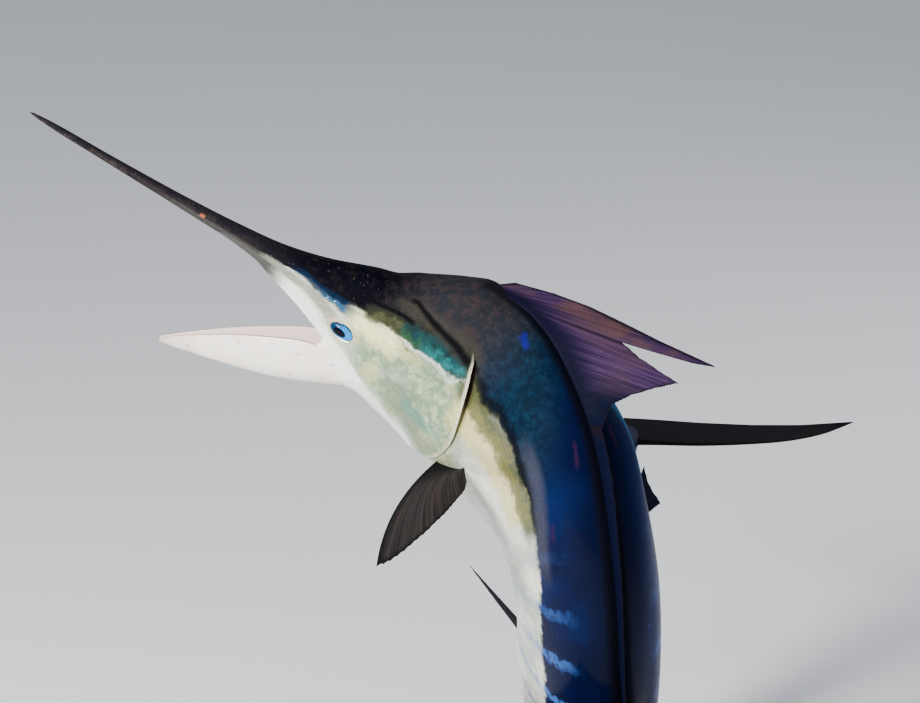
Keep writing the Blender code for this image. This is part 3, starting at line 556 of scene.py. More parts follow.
# The skin that joins the jaw to the throat and to the corners of the mouth. From one corner to the
# keel: turn round the jaw, distance forward of the hinge, station and degrees off the belly where it
# meets the head, and the angles at which it leaves the jaw and arrives there
throat = {
    "rows": (
        (0.0, 0.0, 0.09, 0.604, 47, 30, 150), (0.06, 0.0, 0.078, 0.624, 54, 45, 100),
        (0.13, 0.0, 0.062, 0.65, 56, 35, 60), (0.21, 0.08, 0.052, 0.682, 52, 15, 25),
        (0.29, 0.32, 0.046, 0.71, 46, 0, 0), (0.37, 0.78, 0.042, 0.737, 34, 0, 0),
        (0.44, 1.2, 0.04, 0.764, 17, 0, 0), (0.5, 1.5708, 0.04, 0.776, 0, 0, 0)),
    "size": (121, 40),
    "thick": 0.003,
    "sunk": 0.0026,
    "bulge": 1.25,
    "smoothings": 12,
    "near": 0.004,
    "curl": 1.1,
}


def jawOuter(distance, turn):
    hinge, ahead, up, right = jawAxes()
    half, rim, keel, _ = smoothCurve(jaw["rows"], distance).T
    side, height = jawBowl(turn, half, rim, rim + keel)
    return hinge + ahead * distance[:, None] + right * side[:, None] + up * height[:, None]


def makeThroat():
    across, down = throat["size"]
    w = np.linspace(0, 1, across)
    side = np.where(w < 0.5, 1, -1)
    fromCorner = np.minimum(w, 1 - w)
    rows = straightCurve(throat["rows"], fromCorner).T
    for _ in range(throat["smoothings"]):
        rows[:, 1:-1] = (rows[:, :-2] + rows[:, 1:-1] * 2 + rows[:, 2:]) / 4
    turn, distance, station, off, leave, arrive = rows
    turn, degrees = np.where(side > 0, turn, math.pi - turn), side * off - 90
    leave, arrive, near = np.radians(leave)[:, None], np.radians(arrive)[:, None], throat["near"]
    first = jawOuter(distance, turn)
    leaving = unit(jawOuter(distance - near, turn) - first) * np.cos(leave) + jawAxes()[2] * np.sin(leave)
    last, normal = onSkin(station, degrees)
    arriving = (unit(onSkin(station + near, degrees)[0] - last) * np.cos(arrive)
                + unit(onSkin(station, degrees + side)[0] - last) * np.sin(arrive))
    reach = np.linalg.norm(last - first, axis=-1, keepdims=True) * throat["curl"]
    v = np.linspace(0, 1, down)[:, None]
    points = hermite(v[..., None], first, leaving * reach, last, arriving * reach)
    lift = throat["sunk"] * (throat["bulge"] * span(v, (0, 0.16), (0.84, 1)) - 1)
    points = points + gridNormals(points, -1, normal) * lift[..., None]
    shape = (down, across)
    return sheetPiece("throat_skin", points, np.full(shape, throat["thick"]), {
        "join": np.broadcast_to(ease(v, 0.15, 0.85), shape),
        "inside": np.broadcast_to(0.15 * (1 - ease(fromCorner, 0.004, 0.05)), shape),
        "along": np.full(shape, 0.1)})


# Fins on the midline: station of a ray's root, then how far back, how high and how far to the right
# of it the ray's end lies
midlineFins = {
    "dorsal_front_lobe": {
        "ends": (
            (0.79, 0.035, 0.024, 0.027), (0.7918, 0.096, 0.05, 0.0225), (0.7942, 0.158, 0.0722, 0.014),
            (0.797, 0.212, 0.088, 0.002),
            (0.801, 0.28, 0.109, -0.016), (0.806, 0.375, 0.14, -0.035), (0.818, 0.326, 0.121, -0.03),
            (0.832, 0.26, 0.098, -0.019), (0.848, 0.178, 0.07, -0.009)),
        "edge": 90, "rays": 34, "rows": 54, "thick": (0.0044, 0.0009), "rayRise": 0.0004, "ragged": 0.004},
    "dorsal_second_lobe": {
        "ends": (
            (0.848, 0.178, 0.07, -0.009), (0.864, 0.201, 0.076, -0.012), (0.884, 0.221, 0.089, -0.006),
            (0.91, 0.218, 0.103, 0.012), (0.945, 0.149, 0.08, 0.025), (0.98, 0.083, 0.056, 0.029),
            (1.01, 0.032, 0.035, 0.019), (1.035, 0.018, 0.028, 0.0)),
        "edge": 90, "rays": 30, "rows": 44, "thick": (0.0042, 0.0009), "rayRise": 0.0004, "ragged": 0.013},
    "dorsal_low_front": {
        "ends": (
            (1.035, 0.018, 0.028, 0.0), (1.07, 0.024, 0.024, 0.0), (1.2, 0.026, 0.021, 0.0),
            (1.5, 0.026, 0.02, 0.0)),
        "edge": 90, "rays": 20, "rows": 14, "thick": (0.004, 0.0012), "rayRise": 0.0012, "ragged": 0.08},
    "dorsal_low_rear": {
        "ends": (
            (1.5, 0.026, 0.02, 0.0), (1.8, 0.026, 0.018, 0.0), (2.04, 0.026, 0.015, 0.0),
            (2.1, 0.018, 0.008, 0.0)),
        "edge": 90, "rays": 24, "rows": 14, "thick": (0.0036, 0.001), "rayRise": 0.001, "ragged": 0.08},
    "second_dorsal": {
        "ends": (
            (2.235, 0.012, 0.018, 0.0), (2.25, 0.04, 0.046, 0.0), (2.262, 0.044, 0.034, 0.0),
            (2.28, 0.052, 0.022, 0.0), (2.3, 0.078, 0.011, 0.0)),
        "edge": 90, "rays": 7, "rows": 22, "thick": (0.0034, 0.0008), "rayRise": 0.001, "ragged": 0.03},
    "first_anal": {
        "ends": (
            (1.62, 0.022, 0.03, 0.0), (1.634, 0.085, 0.11, 0.0), (1.648, 0.15, 0.172, 0.0),
            (1.668, 0.104, 0.116, 0.0), (1.695, 0.074, 0.072, 0.0), (1.74, 0.056, 0.044, 0.0),
            (1.8, 0.048, 0.028, 0.0), (1.86, 0.044, 0.012, 0.0)),
        "edge": -90, "rays": 17, "rows": 36, "thick": (0.0046, 0.0009), "rayRise": 0.0011, "ragged": 0.02},
    "second_anal": {
        "ends": (
            (2.19, 0.012, 0.018, 0.0), (2.205, 0.042, 0.05, 0.0), (2.218, 0.046, 0.036, 0.0),
            (2.236, 0.054, 0.023, 0.0), (2.256, 0.08, 0.011, 0.0)),
        "edge": -90, "rays": 6, "rows": 22, "thick": (0.0034, 0.0008), "rayRise": 0.001, "ragged": 0.03},
}

finGrid = {"columnsPerRay": 6, "sunkShare": 0.16, "sunkDepth": 0.008}


def rayShares(rays):
    return np.linspace(0, 1, (rays - 1) * finGrid["columnsPerRay"] + 1)


def rayWave(across, rays):
    # 1 on each ray, 0 in the web between two
    return np.abs(np.cos(np.asarray(across) * math.pi * (rays - 1))) ** 3


def raggedEdge(across, rays, amount, seed):
    # each ray ends at its own length, with the web notched between
    lengths = 1 - amount * np.random.default_rng(seed).random(rays)
    notches = amount * 0.8 * (1 - rayWave(across, rays))
    return np.interp(across * (rays - 1), np.arange(rays), lengths) - notches


def finColumns(table, rays):
    # shares across the fin, and the roots of the columns, spread by the length of the fin's edge
    across = rayShares(rays)
    first, last = table[0][0], table[-1][0]
    spread = np.linspace(0, 1, 400)
    ends = straightCurve(table, first + spread * (last - first))
    steps = np.hypot(np.diff(ends[:, 0]), np.diff(ends[:, 1])) + (last - first) * 0.25 / len(spread)
    length = np.concatenate(([0], np.cumsum(steps)))
    return across, first + np.interp(across, length / length[-1], spread) * (last - first)


def finPiece(name, points, thick, across, along, station):
    shape = points.shape[:2]
    return sheetPiece(name, points, thick, {
        "across": np.broadcast_to(across, shape), "along": np.broadcast_to(along, shape),
        "station": np.broadcast_to(station, shape)})


def makeMidlineFin(name, seed):
    fin = midlineFins[name]
    across, roots = finColumns(fin["ends"], fin["rays"])
    base = plainSkin(roots, np.full_like(roots, fin["edge"]))
    _, tailward, back, right = frameAt(roots)
    outward = back if fin["edge"] > 0 else -back
    ends = straightCurve(fin["ends"], roots)
    reach = outward * ends[:, 1:2] + tailward * ends[:, :1] + right * ends[:, 2:]
    length = raggedEdge(across, fin["rays"], fin["ragged"], seed)
    along = np.linspace(-finGrid["sunkShare"], 1, fin["rows"])[:, None]
    shares = along * np.where(along > 0.5, 1 + (length - 1) * (along - 0.5) * 2, 1)
    sunk = (np.minimum(along, 0) / finGrid["sunkShare"] * finGrid["sunkDepth"])[..., None]
    points = base + reach * np.maximum(shares, 0)[..., None] + outward * sunk
    raised = fin["rayRise"] * ease(along, 0.05, 0.6) * (1 - 0.6 * ease(along, 0.6, 1))
    along = np.clip(along, 0, 1)
    thick = mix(fin["thick"], along ** 0.8) + raised * rayWave(across, fin["rays"])
    return finPiece(name + "_skin", points, thick, across * (fin["rays"] - 1), along, roots)


pectoral = {
    "root": ((0.903, -44), (0.968, -20)),
    # share across the root, reach, distance behind the leading end
    "ends": (
        (0.0, 0.385, 0.096), (0.07, 0.368, 0.104), (0.18, 0.325, 0.108), (0.32, 0.265, 0.108),
        (0.47, 0.205, 0.106), (0.62, 0.152, 0.102), (0.77, 0.106, 0.096), (0.9, 0.07, 0.09),
        (1.0, 0.04, 0.078)),
    "rays": 20, "rows": 60,
    "thick": (0.0074, 0.0011),
    "rayRise": 0.0011,
    "ragged": 0.02,
    "bow": 0.022,
    "camber": 0.01,
    "sunk": 0.012,
    # outward, up, back
    "aim": {leftSide: (0.97, 0.14, 0.06), rightSide: (0.25, -0.75, 0.6)},
}


def makePectoral(name, side):
    rays = pectoral["rays"]
    across = rayShares(rays)
    (s0, a0), (s1, a1) = pectoral["root"]
    _, tailward, back, right = frameAt((s0 + s1) / 2)
    aim = pectoral["aim"][side]
    reach = unit(right * side * aim[0] + back * aim[1] + tailward * aim[2])
    station = mix((s0, s1), across)
    root, normal = onSkin(station, flankAngle(side, mix((a0, a1), across)))
    chord = unit((root[-1] - root[0]) - reach * ((root[-1] - root[0]) @ reach))
    ends = smoothCurve(pectoral["ends"], across)
    end = root[0] + reach * ends[:, :1] + chord * ends[:, 1:]
    along = np.linspace(0, 1, pectoral["rows"])[:, None]
    t, column = along[..., None], across[:, None]
    ragged = raggedEdge(across, rays, pectoral["ragged"], 5)[:, None]
    points = (root - normal * pectoral["sunk"] * (1 - t) + (end - root) * t * (1 + (ragged - 1) * t)
              - chord * pectoral["bow"] * (1 - 0.7 * column) * 4 * t * (1 - t)
              + np.cross(reach, chord) * pectoral["camber"] * np.sin(math.pi * t) * (0.4 + column))
    share = along ** 0.7
    thick = mix(pectoral["thick"], share) * (1 + 0.5 * (1 - ease(across, 0, 0.1)))
    thick = thick + pectoral["rayRise"] * (1 - 0.6 * share) * rayWave(across, rays)
    return finPiece(name, points, thick, across * (rays - 1), along, station)


pelvic = {"start": 0.95, "end": 1.195, "side": 0.016, "width": 0.012, "thick": 0.0034,
          "drop": 0.014, "spread": 0.01, "rings": 70, "points": 20}


def makePelvic(name, side):
    t = np.linspace(0, 1, pelvic["rings"])
    station = mix((pelvic["start"], pelvic["end"]), t)
    belly = plainSkin(station, np.full_like(station, -90.0))
    _, _, back, right = frameAt(station)
    taper = (1 - 0.8 * t ** 1.5)[:, None] / 2
    drop = -0.002 + pelvic["drop"] * ease(t, 0.04, 1.0) + pelvic["thick"] / 2
    centre = belly - back * drop[:, None] + right * side * (pelvic["side"] + pelvic["spread"] * t)[:, None]
    turns = np.linspace(0, math.tau, pelvic["points"] + 1)
    crease = 1 - 0.35 * np.abs(np.sin(turns)) ** 6          # a lengthwise groove above and below
    wide = pelvic["width"] * taper * np.cos(turns)
    thick = pelvic["thick"] * taper * np.sin(turns) * crease
    rings = centre[:, None] + right[:, None] * wide[..., None] + back[:, None] * thick[..., None]
    shape = rings.shape[:2]
    return tubePiece(name, rings, {
        "across": np.broadcast_to(turns, shape), "along": np.broadcast_to(t[:, None], shape),
        "station": np.broadcast_to(station[:, None], shape)})


caudal = {
    "at": 2.47,
    # distance back from the stem, height
    "lead": ((0.0, 0.0345), (0.012, 0.075), (0.036, 0.145), (0.07, 0.22), (0.115, 0.3), (0.17, 0.365),
             (0.24, 0.42)),
    "trail": ((0.0, 0.0), (0.078, 0.0), (0.096, 0.06), (0.118, 0.14), (0.15, 0.235), (0.188, 0.325),
              (0.241, 0.419)),
    "rays": 18, "rows": 64,
    "thick": (0.011, 0.0013),
    "rayRise": 0.0012,
    "sunk": 0.012,
}


def makeCaudal(name, way):
    rays = caudal["rays"]
    across = rayShares(rays)
    end, tailward, back, _ = frameAt(caudal["at"])
    share = np.linspace(0, 1, len(caudal["lead"]))
    along = np.linspace(0, 1, caudal["rows"])[:, None] ** 0.9
    lead = smoothCurve(np.column_stack([share, caudal["lead"]]), along[:, 0])[:, None]
    trail = straightCurve(np.column_stack([share, caudal["trail"]]), along[:, 0])[:, None]
    spot = lead + (trail - lead) * across[:, None]
    behind = spot[..., :1] - caudal["sunk"] * (1 - along[..., None])
    points = end + tailward * behind + back * way * np.maximum(spot[..., 1:], 0.0)
    thick = mix(caudal["thick"], np.minimum(1, along * 1.4) ** 0.6) * (1 - 0.45 * ease(across, 0.1, 1.0))
    thick = thick + caudal["rayRise"] * rayWave(across, rays) * (1 - 0.5 * along)
    return finPiece(name, points, thick, across * (rays - 1), along, caudal["at"])


class Wire:
    # one value of a node tree, so that sums and products of masks read as such
    def __init__(self, socket):
        self.socket, self.tree = socket, socket.id_data

    def __add__(self, other):
        return calc("ADD", self, other)

    def __sub__(self, other):
        return calc("SUBTRACT", self, other)

    def __mul__(self, other):
        return calc("MULTIPLY", self, other)

    def __truediv__(self, other):
        return calc("DIVIDE", self, other)


def plug(node, inputs):
    for key, value in inputs.items():
        if isinstance(value, Wire):
            value.tree.links.new(value.socket, node.inputs[key])
        else:
            node.inputs[key].default_value = value


def wire(tree, kind, inputs=None, output=0, **settings):
    node = tree.nodes.new(kind)
    for key, value in settings.items():
        setattr(node, key, value)
    plug(node, inputs or {})
    return Wire(node.outputs[output])


def calc(operation, a, b=0.0):
    return wire(a.tree, "ShaderNodeMath", {0: a, 1: b}, operation=operation)


def step(value, low, high, start=0.0, end=1.0):
    return wire(value.tree, "ShaderNodeMapRange", {0: value, 1: low, 2: high, 3: start, 4: end},
                interpolation_type="SMOOTHSTEP")


def fall(value, low, high):
    return step(value, low, high, 1.0, 0.0)


def blend(factor, a, b):
    # paints b over a
    a, b = (colour if isinstance(colour, Wire) else (*colour, 1) for colour in (a, b))
    return wire(factor.tree, "ShaderNodeMix", {0: factor, 6: a, 7: b}, output=2, data_type="RGBA")


def layered(colour, paint, *layers):
    # paints each layer's colour over what lies under its mask
    for mask, name in layers:
        colour = blend(mask, colour, paint[name])
    return colour


def noise(place, scale, detail=2.0, roughness=0.5):
    return wire(place.tree, "ShaderNodeTexNoise", {"Vector": place, "Scale": scale, "Detail": detail,
                                                   "Roughness": roughness})


def flatPlace(x, y):
    return wire(x.tree, "ShaderNodeCombineXYZ", {0: x, 1: y, 2: 0.0})


def stretched(place, scale):
    return wire(place.tree, "ShaderNodeMapping", {"Vector": place, "Scale": scale})


def bump(height, strength, distance):
    return wire(height.tree, "ShaderNodeBump", {"Strength": strength, "Distance": distance, "Height": height})


def curve(station, path):
    # degrees above the side line along a path over the skin, read at the station
    node = station.tree.nodes.new("ShaderNodeFloatCurve")
    line = node.mapping.curves[0]
    longest, halfTurn = 3.0, 180.0
    spots = [(s / longest, (b + 90) / halfTurn) for s, b in path]
    spots = [(0.0, spots[0][1])] * (spots[0][0] > 0.001) + spots + [(1.0, spots[-1][1])]
    while len(line.points) < len(spots):
        line.points.new(0.5, 0.5)
    for point, (x, y) in zip(line.points, spots):
        point.location = (x, y)
        point.handle_type = "AUTO_CLAMPED"
    node.mapping.update()
    plug(node, {"Value": station / longest})
    return Wire(node.outputs[0]) * halfTurn - 90.0


def newMaterial(name, *marks):
    # the material, its shader, each point's place in the object and the named marks
    material = bpy.data.materials.new(name)
    material.use_nodes = True
    tree = material.node_tree
    read = [wire(tree, "ShaderNodeAttribute", output=2, attribute_name=mark) for mark in marks]
    return material, tree.nodes["Principled BSDF"], wire(tree, "ShaderNodeTexCoord", output=3), *read


def newGroup(name, inputs):
    # a group that takes numbers, or vectors where a tuple is given, and puts out a mask
    group = bpy.data.node_groups.new(name, "ShaderNodeTree")
    for label, value in inputs.items():
        kind = "NodeSocketVector" if isinstance(value, tuple) else "NodeSocketFloat"
        group.interface.new_socket(label, in_out="INPUT", socket_type=kind).default_value = value
    group.interface.new_socket("Mask", in_out="OUTPUT", socket_type="NodeSocketFloat")
    sockets = group.nodes.new("NodeGroupInput").outputs
    return group, {label: Wire(sockets[label]) for label in inputs}, group.nodes.new("NodeGroupOutput")


def makeStrokeGroup():
    # a brush stroke along a path: full inside its half width, soft at its rim, faded at both ends
    group, given, out = newGroup("paintedStroke", {
        "Station": 0.0, "Above": 0.0, "Centre": 0.0, "Half Width": 5.0, "Softness": 2.0, "Start": 0.0,
        "End": 1.0, "Fade": 0.01})
    station, width, soft, fade = (given[label] for label in ("Station", "Half Width", "Softness", "Fade"))
    across = fall(calc("ABSOLUTE", given["Above"] - given["Centre"]), width - soft, width + soft)
    begin = step(station, given["Start"] - fade, given["Start"])
    plug(out, {"Mask": begin * fall(station, given["End"], given["End"] + fade) * across})
    return group


def makeSpeckleGroup():
    # scattered round flecks
    group, given, out = newGroup("flecks", {"Vector": (0, 0, 0), "Scale": 40.0, "Size": 0.2, "Share": 0.3})
    away = wire(group, "ShaderNodeTexVoronoi", {"Vector": given["Vector"], "Scale": given["Scale"]})
    pick = wire(group, "ShaderNodeSeparateColor", {0: Wire(away.socket.node.outputs["Color"])})
    spot = fall(away, given["Size"] * 0.6, given["Size"])
    plug(out, {"Mask": spot * calc("LESS_THAN", pick, given["Share"])})
    return group


strokeGroup = makeStrokeGroup()
speckleGroup = makeSpeckleGroup()


def speckles(place, scale, size, share):
    given = {"Vector": place, "Scale": scale, "Size": size, "Share": share}
    return wire(place.tree, "ShaderNodeGroup", given, node_tree=speckleGroup)


skinPaint = {
    # pairs that noise mixes
    "belly": ((0.78, 0.78, 0.68), (0.46, 0.5, 0.42)), "cheek": ((0.19, 0.28, 0.17), (0.4, 0.47, 0.29)),
    "bill": ((0.008, 0.007, 0.011), (0.048, 0.036, 0.03)),
    "head": ((0.0004, 0.0004, 0.003), (0.007, 0.005, 0.006)),
    "backFront": ((0.013, 0.014, 0.018), (0.026, 0.019, 0.02)),
    "backMiddle": ((0.0008, 0.008, 0.019), (0.003, 0.017, 0.037)),
    "backRear": ((0.0001, 0.0022, 0.024), (0.0003, 0.009, 0.065)),
    # single colours
    # ridge is painted shade by the fold of the back fin; flank blue is painted sky light on the right flank
    "cheekWarm": (0.66, 0.6, 0.27), "ridgeShade": (0.0002, 0.0012, 0.012), "skyLitFlankBlue": (0.0003, 0.011, 0.085),
    # fin foot is a painted shadow along the root of the back fin
    "finRootShadow": (0.0015, 0.0015, 0.004), "mottle": (0.007, 0.009, 0.006), "bar": (0.05, 0.15, 0.52),
    "lid": (0.7, 0.52, 0.34), "mouth": (0.6, 0.34, 0.28),
    # slit is painted shade in the slit behind the gill cover
    "gillRim": (0.78, 0.74, 0.52), "slit": (0.03, 0.012, 0.012),
    "fleck": (0.02, 0.016, 0.2), "paleFleck": (0.3, 0.27, 0.27),
    # the lower edge of the dark back
    "darkEdge": ((0.0, -90), (0.33, -85), (0.37, -40), (0.404, 2), (0.452, -2), (0.484, 8), (0.52, 17),
                 (0.564, 10), (0.604, 7), (0.628, 13), (0.68, 14), (0.74, 13), (0.8, 14), (0.85, 21),
                 (0.9, 20), (0.948, 25), (0.996, 28), (1.044, 30), (1.084, 33), (1.132, 33),
                 (1.25, 27), (1.45, 20), (1.8, 18), (2.1, 16), (2.4, -5), (2.47, -30)),
    # brush strokes over it, in order: colour, strength, half width, softness, how far it strays, where
    # it starts and ends with its fade, and its path
    "strokes": (
        # the white band of the lip and the lower cheek, painted brighter down the throat as painted sunlight
        ((0.95, 0.94, 0.86), 0.9, 22, 4, 2, (0.52, 0.8, 0.06),
         ((0.44, -22), (0.468, -24), (0.5, -37), (0.536, -42), (0.588, -56), (0.644, -64), (0.684, -68),
          (0.74, -72), (0.8, -75))),
        ((0.046, 0.044, 0.04), 0.98, 66, 5, 3, (0.3, 0.465, 0.055), ((0.3, -55), (0.53, -55))),
        ((0.46, 0.115, 0.05), 0.8, 10, 5, 6, (0.331, 0.335, 0.004), ((0.32, 12), (0.34, 16))),
        ((0.24, 0.25, 0.18), 0.85, 10, 5, 8, (0.47, 0.6, 0.03),
         ((0.43, -2), (0.468, 4), (0.5, 0), (0.536, -4), (0.588, -13), (0.62, -20))),
        ((0.0015, 0.012, 0.034), 0.95, 7.5, 5, 12, (0.525, 0.625, 0.03),
         ((0.525, 20), (0.545, 13), (0.575, 8), (0.61, 6), (0.635, 5))),
        ((0.014, 0.13, 0.25), 0.7, 2.2, 2.6, 12, (0.575, 0.622, 0.02),
         ((0.56, 5), (0.585, 4), (0.62, 3), (0.64, 2))),
        # painted highlight: sunlight on the cream-yellow cheek behind the eye, brighter than the cheek's own
        # colour
        ((0.96, 0.88, 0.46), 0.95, 8, 7, 14, (0.65, 0.705, 0.04), ((0.64, 2), (0.68, 1), (0.73, 3))),
        ((0.02, 0.021, 0.013), 0.92, 8.5, 4, 12, (0.655, 0.775, 0.02),
         ((0.64, 16), (0.68, 21), (0.716, 22), (0.76, 23), (0.8, 24))),
        ((0.062, 0.066, 0.028), 0.8, 3, 3.5, 20, (0.665, 0.755, 0.02),
         ((0.64, 14), (0.68, 17), (0.716, 17), (0.76, 18), (0.8, 18))),
        ((0.006, 0.036, 0.04), 0.93, 6.5, 3.5, 8, (0.722, 0.855, 0.015),
         ((0.72, 20), (0.768, 19), (0.824, 19), (0.856, 25))),
        ((0.024, 0.07, 0.026), 0.8, 3.4, 3.4, 18, (0.728, 0.8, 0.025),
         ((0.72, 16), (0.768, 15), (0.824, 15), (0.856, 20))),
        ((0.012, 0.13, 0.145), 0.75, 3.0, 3, 14, (0.78, 0.85, 0.03),
         ((0.72, 16), (0.768, 16), (0.824, 17), (0.856, 22))),
        ((0.034, 0.031, 0.022), 0.65, 6.5, 4, 10, (0.7, 0.85, 0.03),
         ((0.7, 40), (0.76, 35), (0.81, 32), (0.85, 31))),
        # painted shade: black lines in the head's furrows and along the gill cover's upper edge
        ((0.001, 0.001, 0.002), 0.98, 2.1, 1.3, 3, (0.61, 0.722, 0.015),
         furrows[1]["path"]),
        ((0.001, 0.001, 0.002), 0.98, 2.6, 1.8, 2, (0.71, 0.86, 0.015),
         ((0.7, 48), (0.732, 40), (0.772, 32.5), (0.808, 30), (0.852, 28))),
        ((0.66, 0.7, 0.62), 0.75, 1.2, 1.0, 7, (0.735, 0.868, 0.02),
         ((0.74, 12), (0.784, 12), (0.832, 12.5), (0.868, 21))),
        # painted shade: the lower rear cheek darker green-grey
        ((0.17, 0.22, 0.14), 0.75, 13, 10, 20, (0.77, 0.87, 0.06), ((0.76, -26), (0.82, -34), (0.88, -38))),
        ((0.05, 0.25, 0.22), 0.45, 4, 4, 12, (0.79, 0.88, 0.02), ((0.792, -26), (0.844, -24), (0.884, -20))),
        ((0.34, 0.36, 0.32), 0.6, 3, 3, 6, (0.695, 0.76, 0.02),
         ((0.692, -46), (0.708, -29), (0.732, -20), (0.764, -13))),
        ((0.68, 0.6, 0.24), 0.85, 10, 7, 10, (0.885, 1.1, 0.03),
         ((0.88, 2), (0.93, 6), (1.012, 10), (1.108, 15))),
        ((0.054, 0.058, 0.017), 0.92, 7.2, 4.0, 10, (0.872, 1.12, 0.03),
         ((0.856, 19), (0.894, 16), (0.938, 18.5), (0.984, 22), (1.032, 25), (1.074, 28), (1.12, 29))),
        ((0.18, 0.17, 0.05), 0.75, 4.6, 3.8, 22, (0.9, 1.1, 0.03),
         ((0.896, 13), (0.938, 15), (0.984, 18), (1.032, 22), (1.074, 25), (1.12, 26))),
        ((0.001, 0.0015, 0.004), 0.85, 3.2, 2.6, 8, (0.9, 1.12, 0.06),
         ((0.87, 25), (0.9, 25), (0.948, 30), (0.996, 32), (1.044, 34), (1.084, 36), (1.112, 36))),
        # painted sheen: a grey-purple band of reflected light along the flank, between the olive band and the
        # deep blue
        ((0.04, 0.042, 0.062), 0.75, 5.0, 3.5, 3, (1.045, 1.16, 0.06),
         ((0.98, 38), (1.036, 41), (1.072, 42), (1.112, 40), (1.18, 36))),
        ((0.045, 0.009, 0.04), 0.42, 1.3, 1.3, 3, (1.05, 1.066, 0.01), ((1.05, 74), (1.07, 73))),
        ((0.008, 0.007, 0.16), 0.8, 2.8, 2.4, 8, (0.889, 0.899, 0.01), ((0.886, 69), (0.905, 67))),
        ((0.04, 0.008, 0.04), 0.4, 1.4, 1.6, 5, (1.13, 1.14, 0.01), ((1.12, 49), (1.15, 47))),
    ),
    # a painted reflection: a pale blue band of sky light over the right shoulder, as a stroke
    "gleam": ((0.02, 0.16, 0.3), 0.85, 7.0, 7.0, 6, (1.03, 1.09, 0.04), ((1.02, 52), (1.05, 45), (1.1, 38))),
}


def paintStroke(colour, station, above, wobble, stroke, where=1.0):
    paint, strength, width, softness, stray, (start, end, fade), path = stroke
    mask = wire(station.tree, "ShaderNodeGroup", {
        "Station": station, "Above": above + wobble * (stray * 2.0), "Centre": curve(station, path),
        "Half Width": width, "Softness": softness, "Start": start, "End": end, "Fade": fade},
        node_tree=strokeGroup)
    return blend(mask * where * strength, colour, paint)


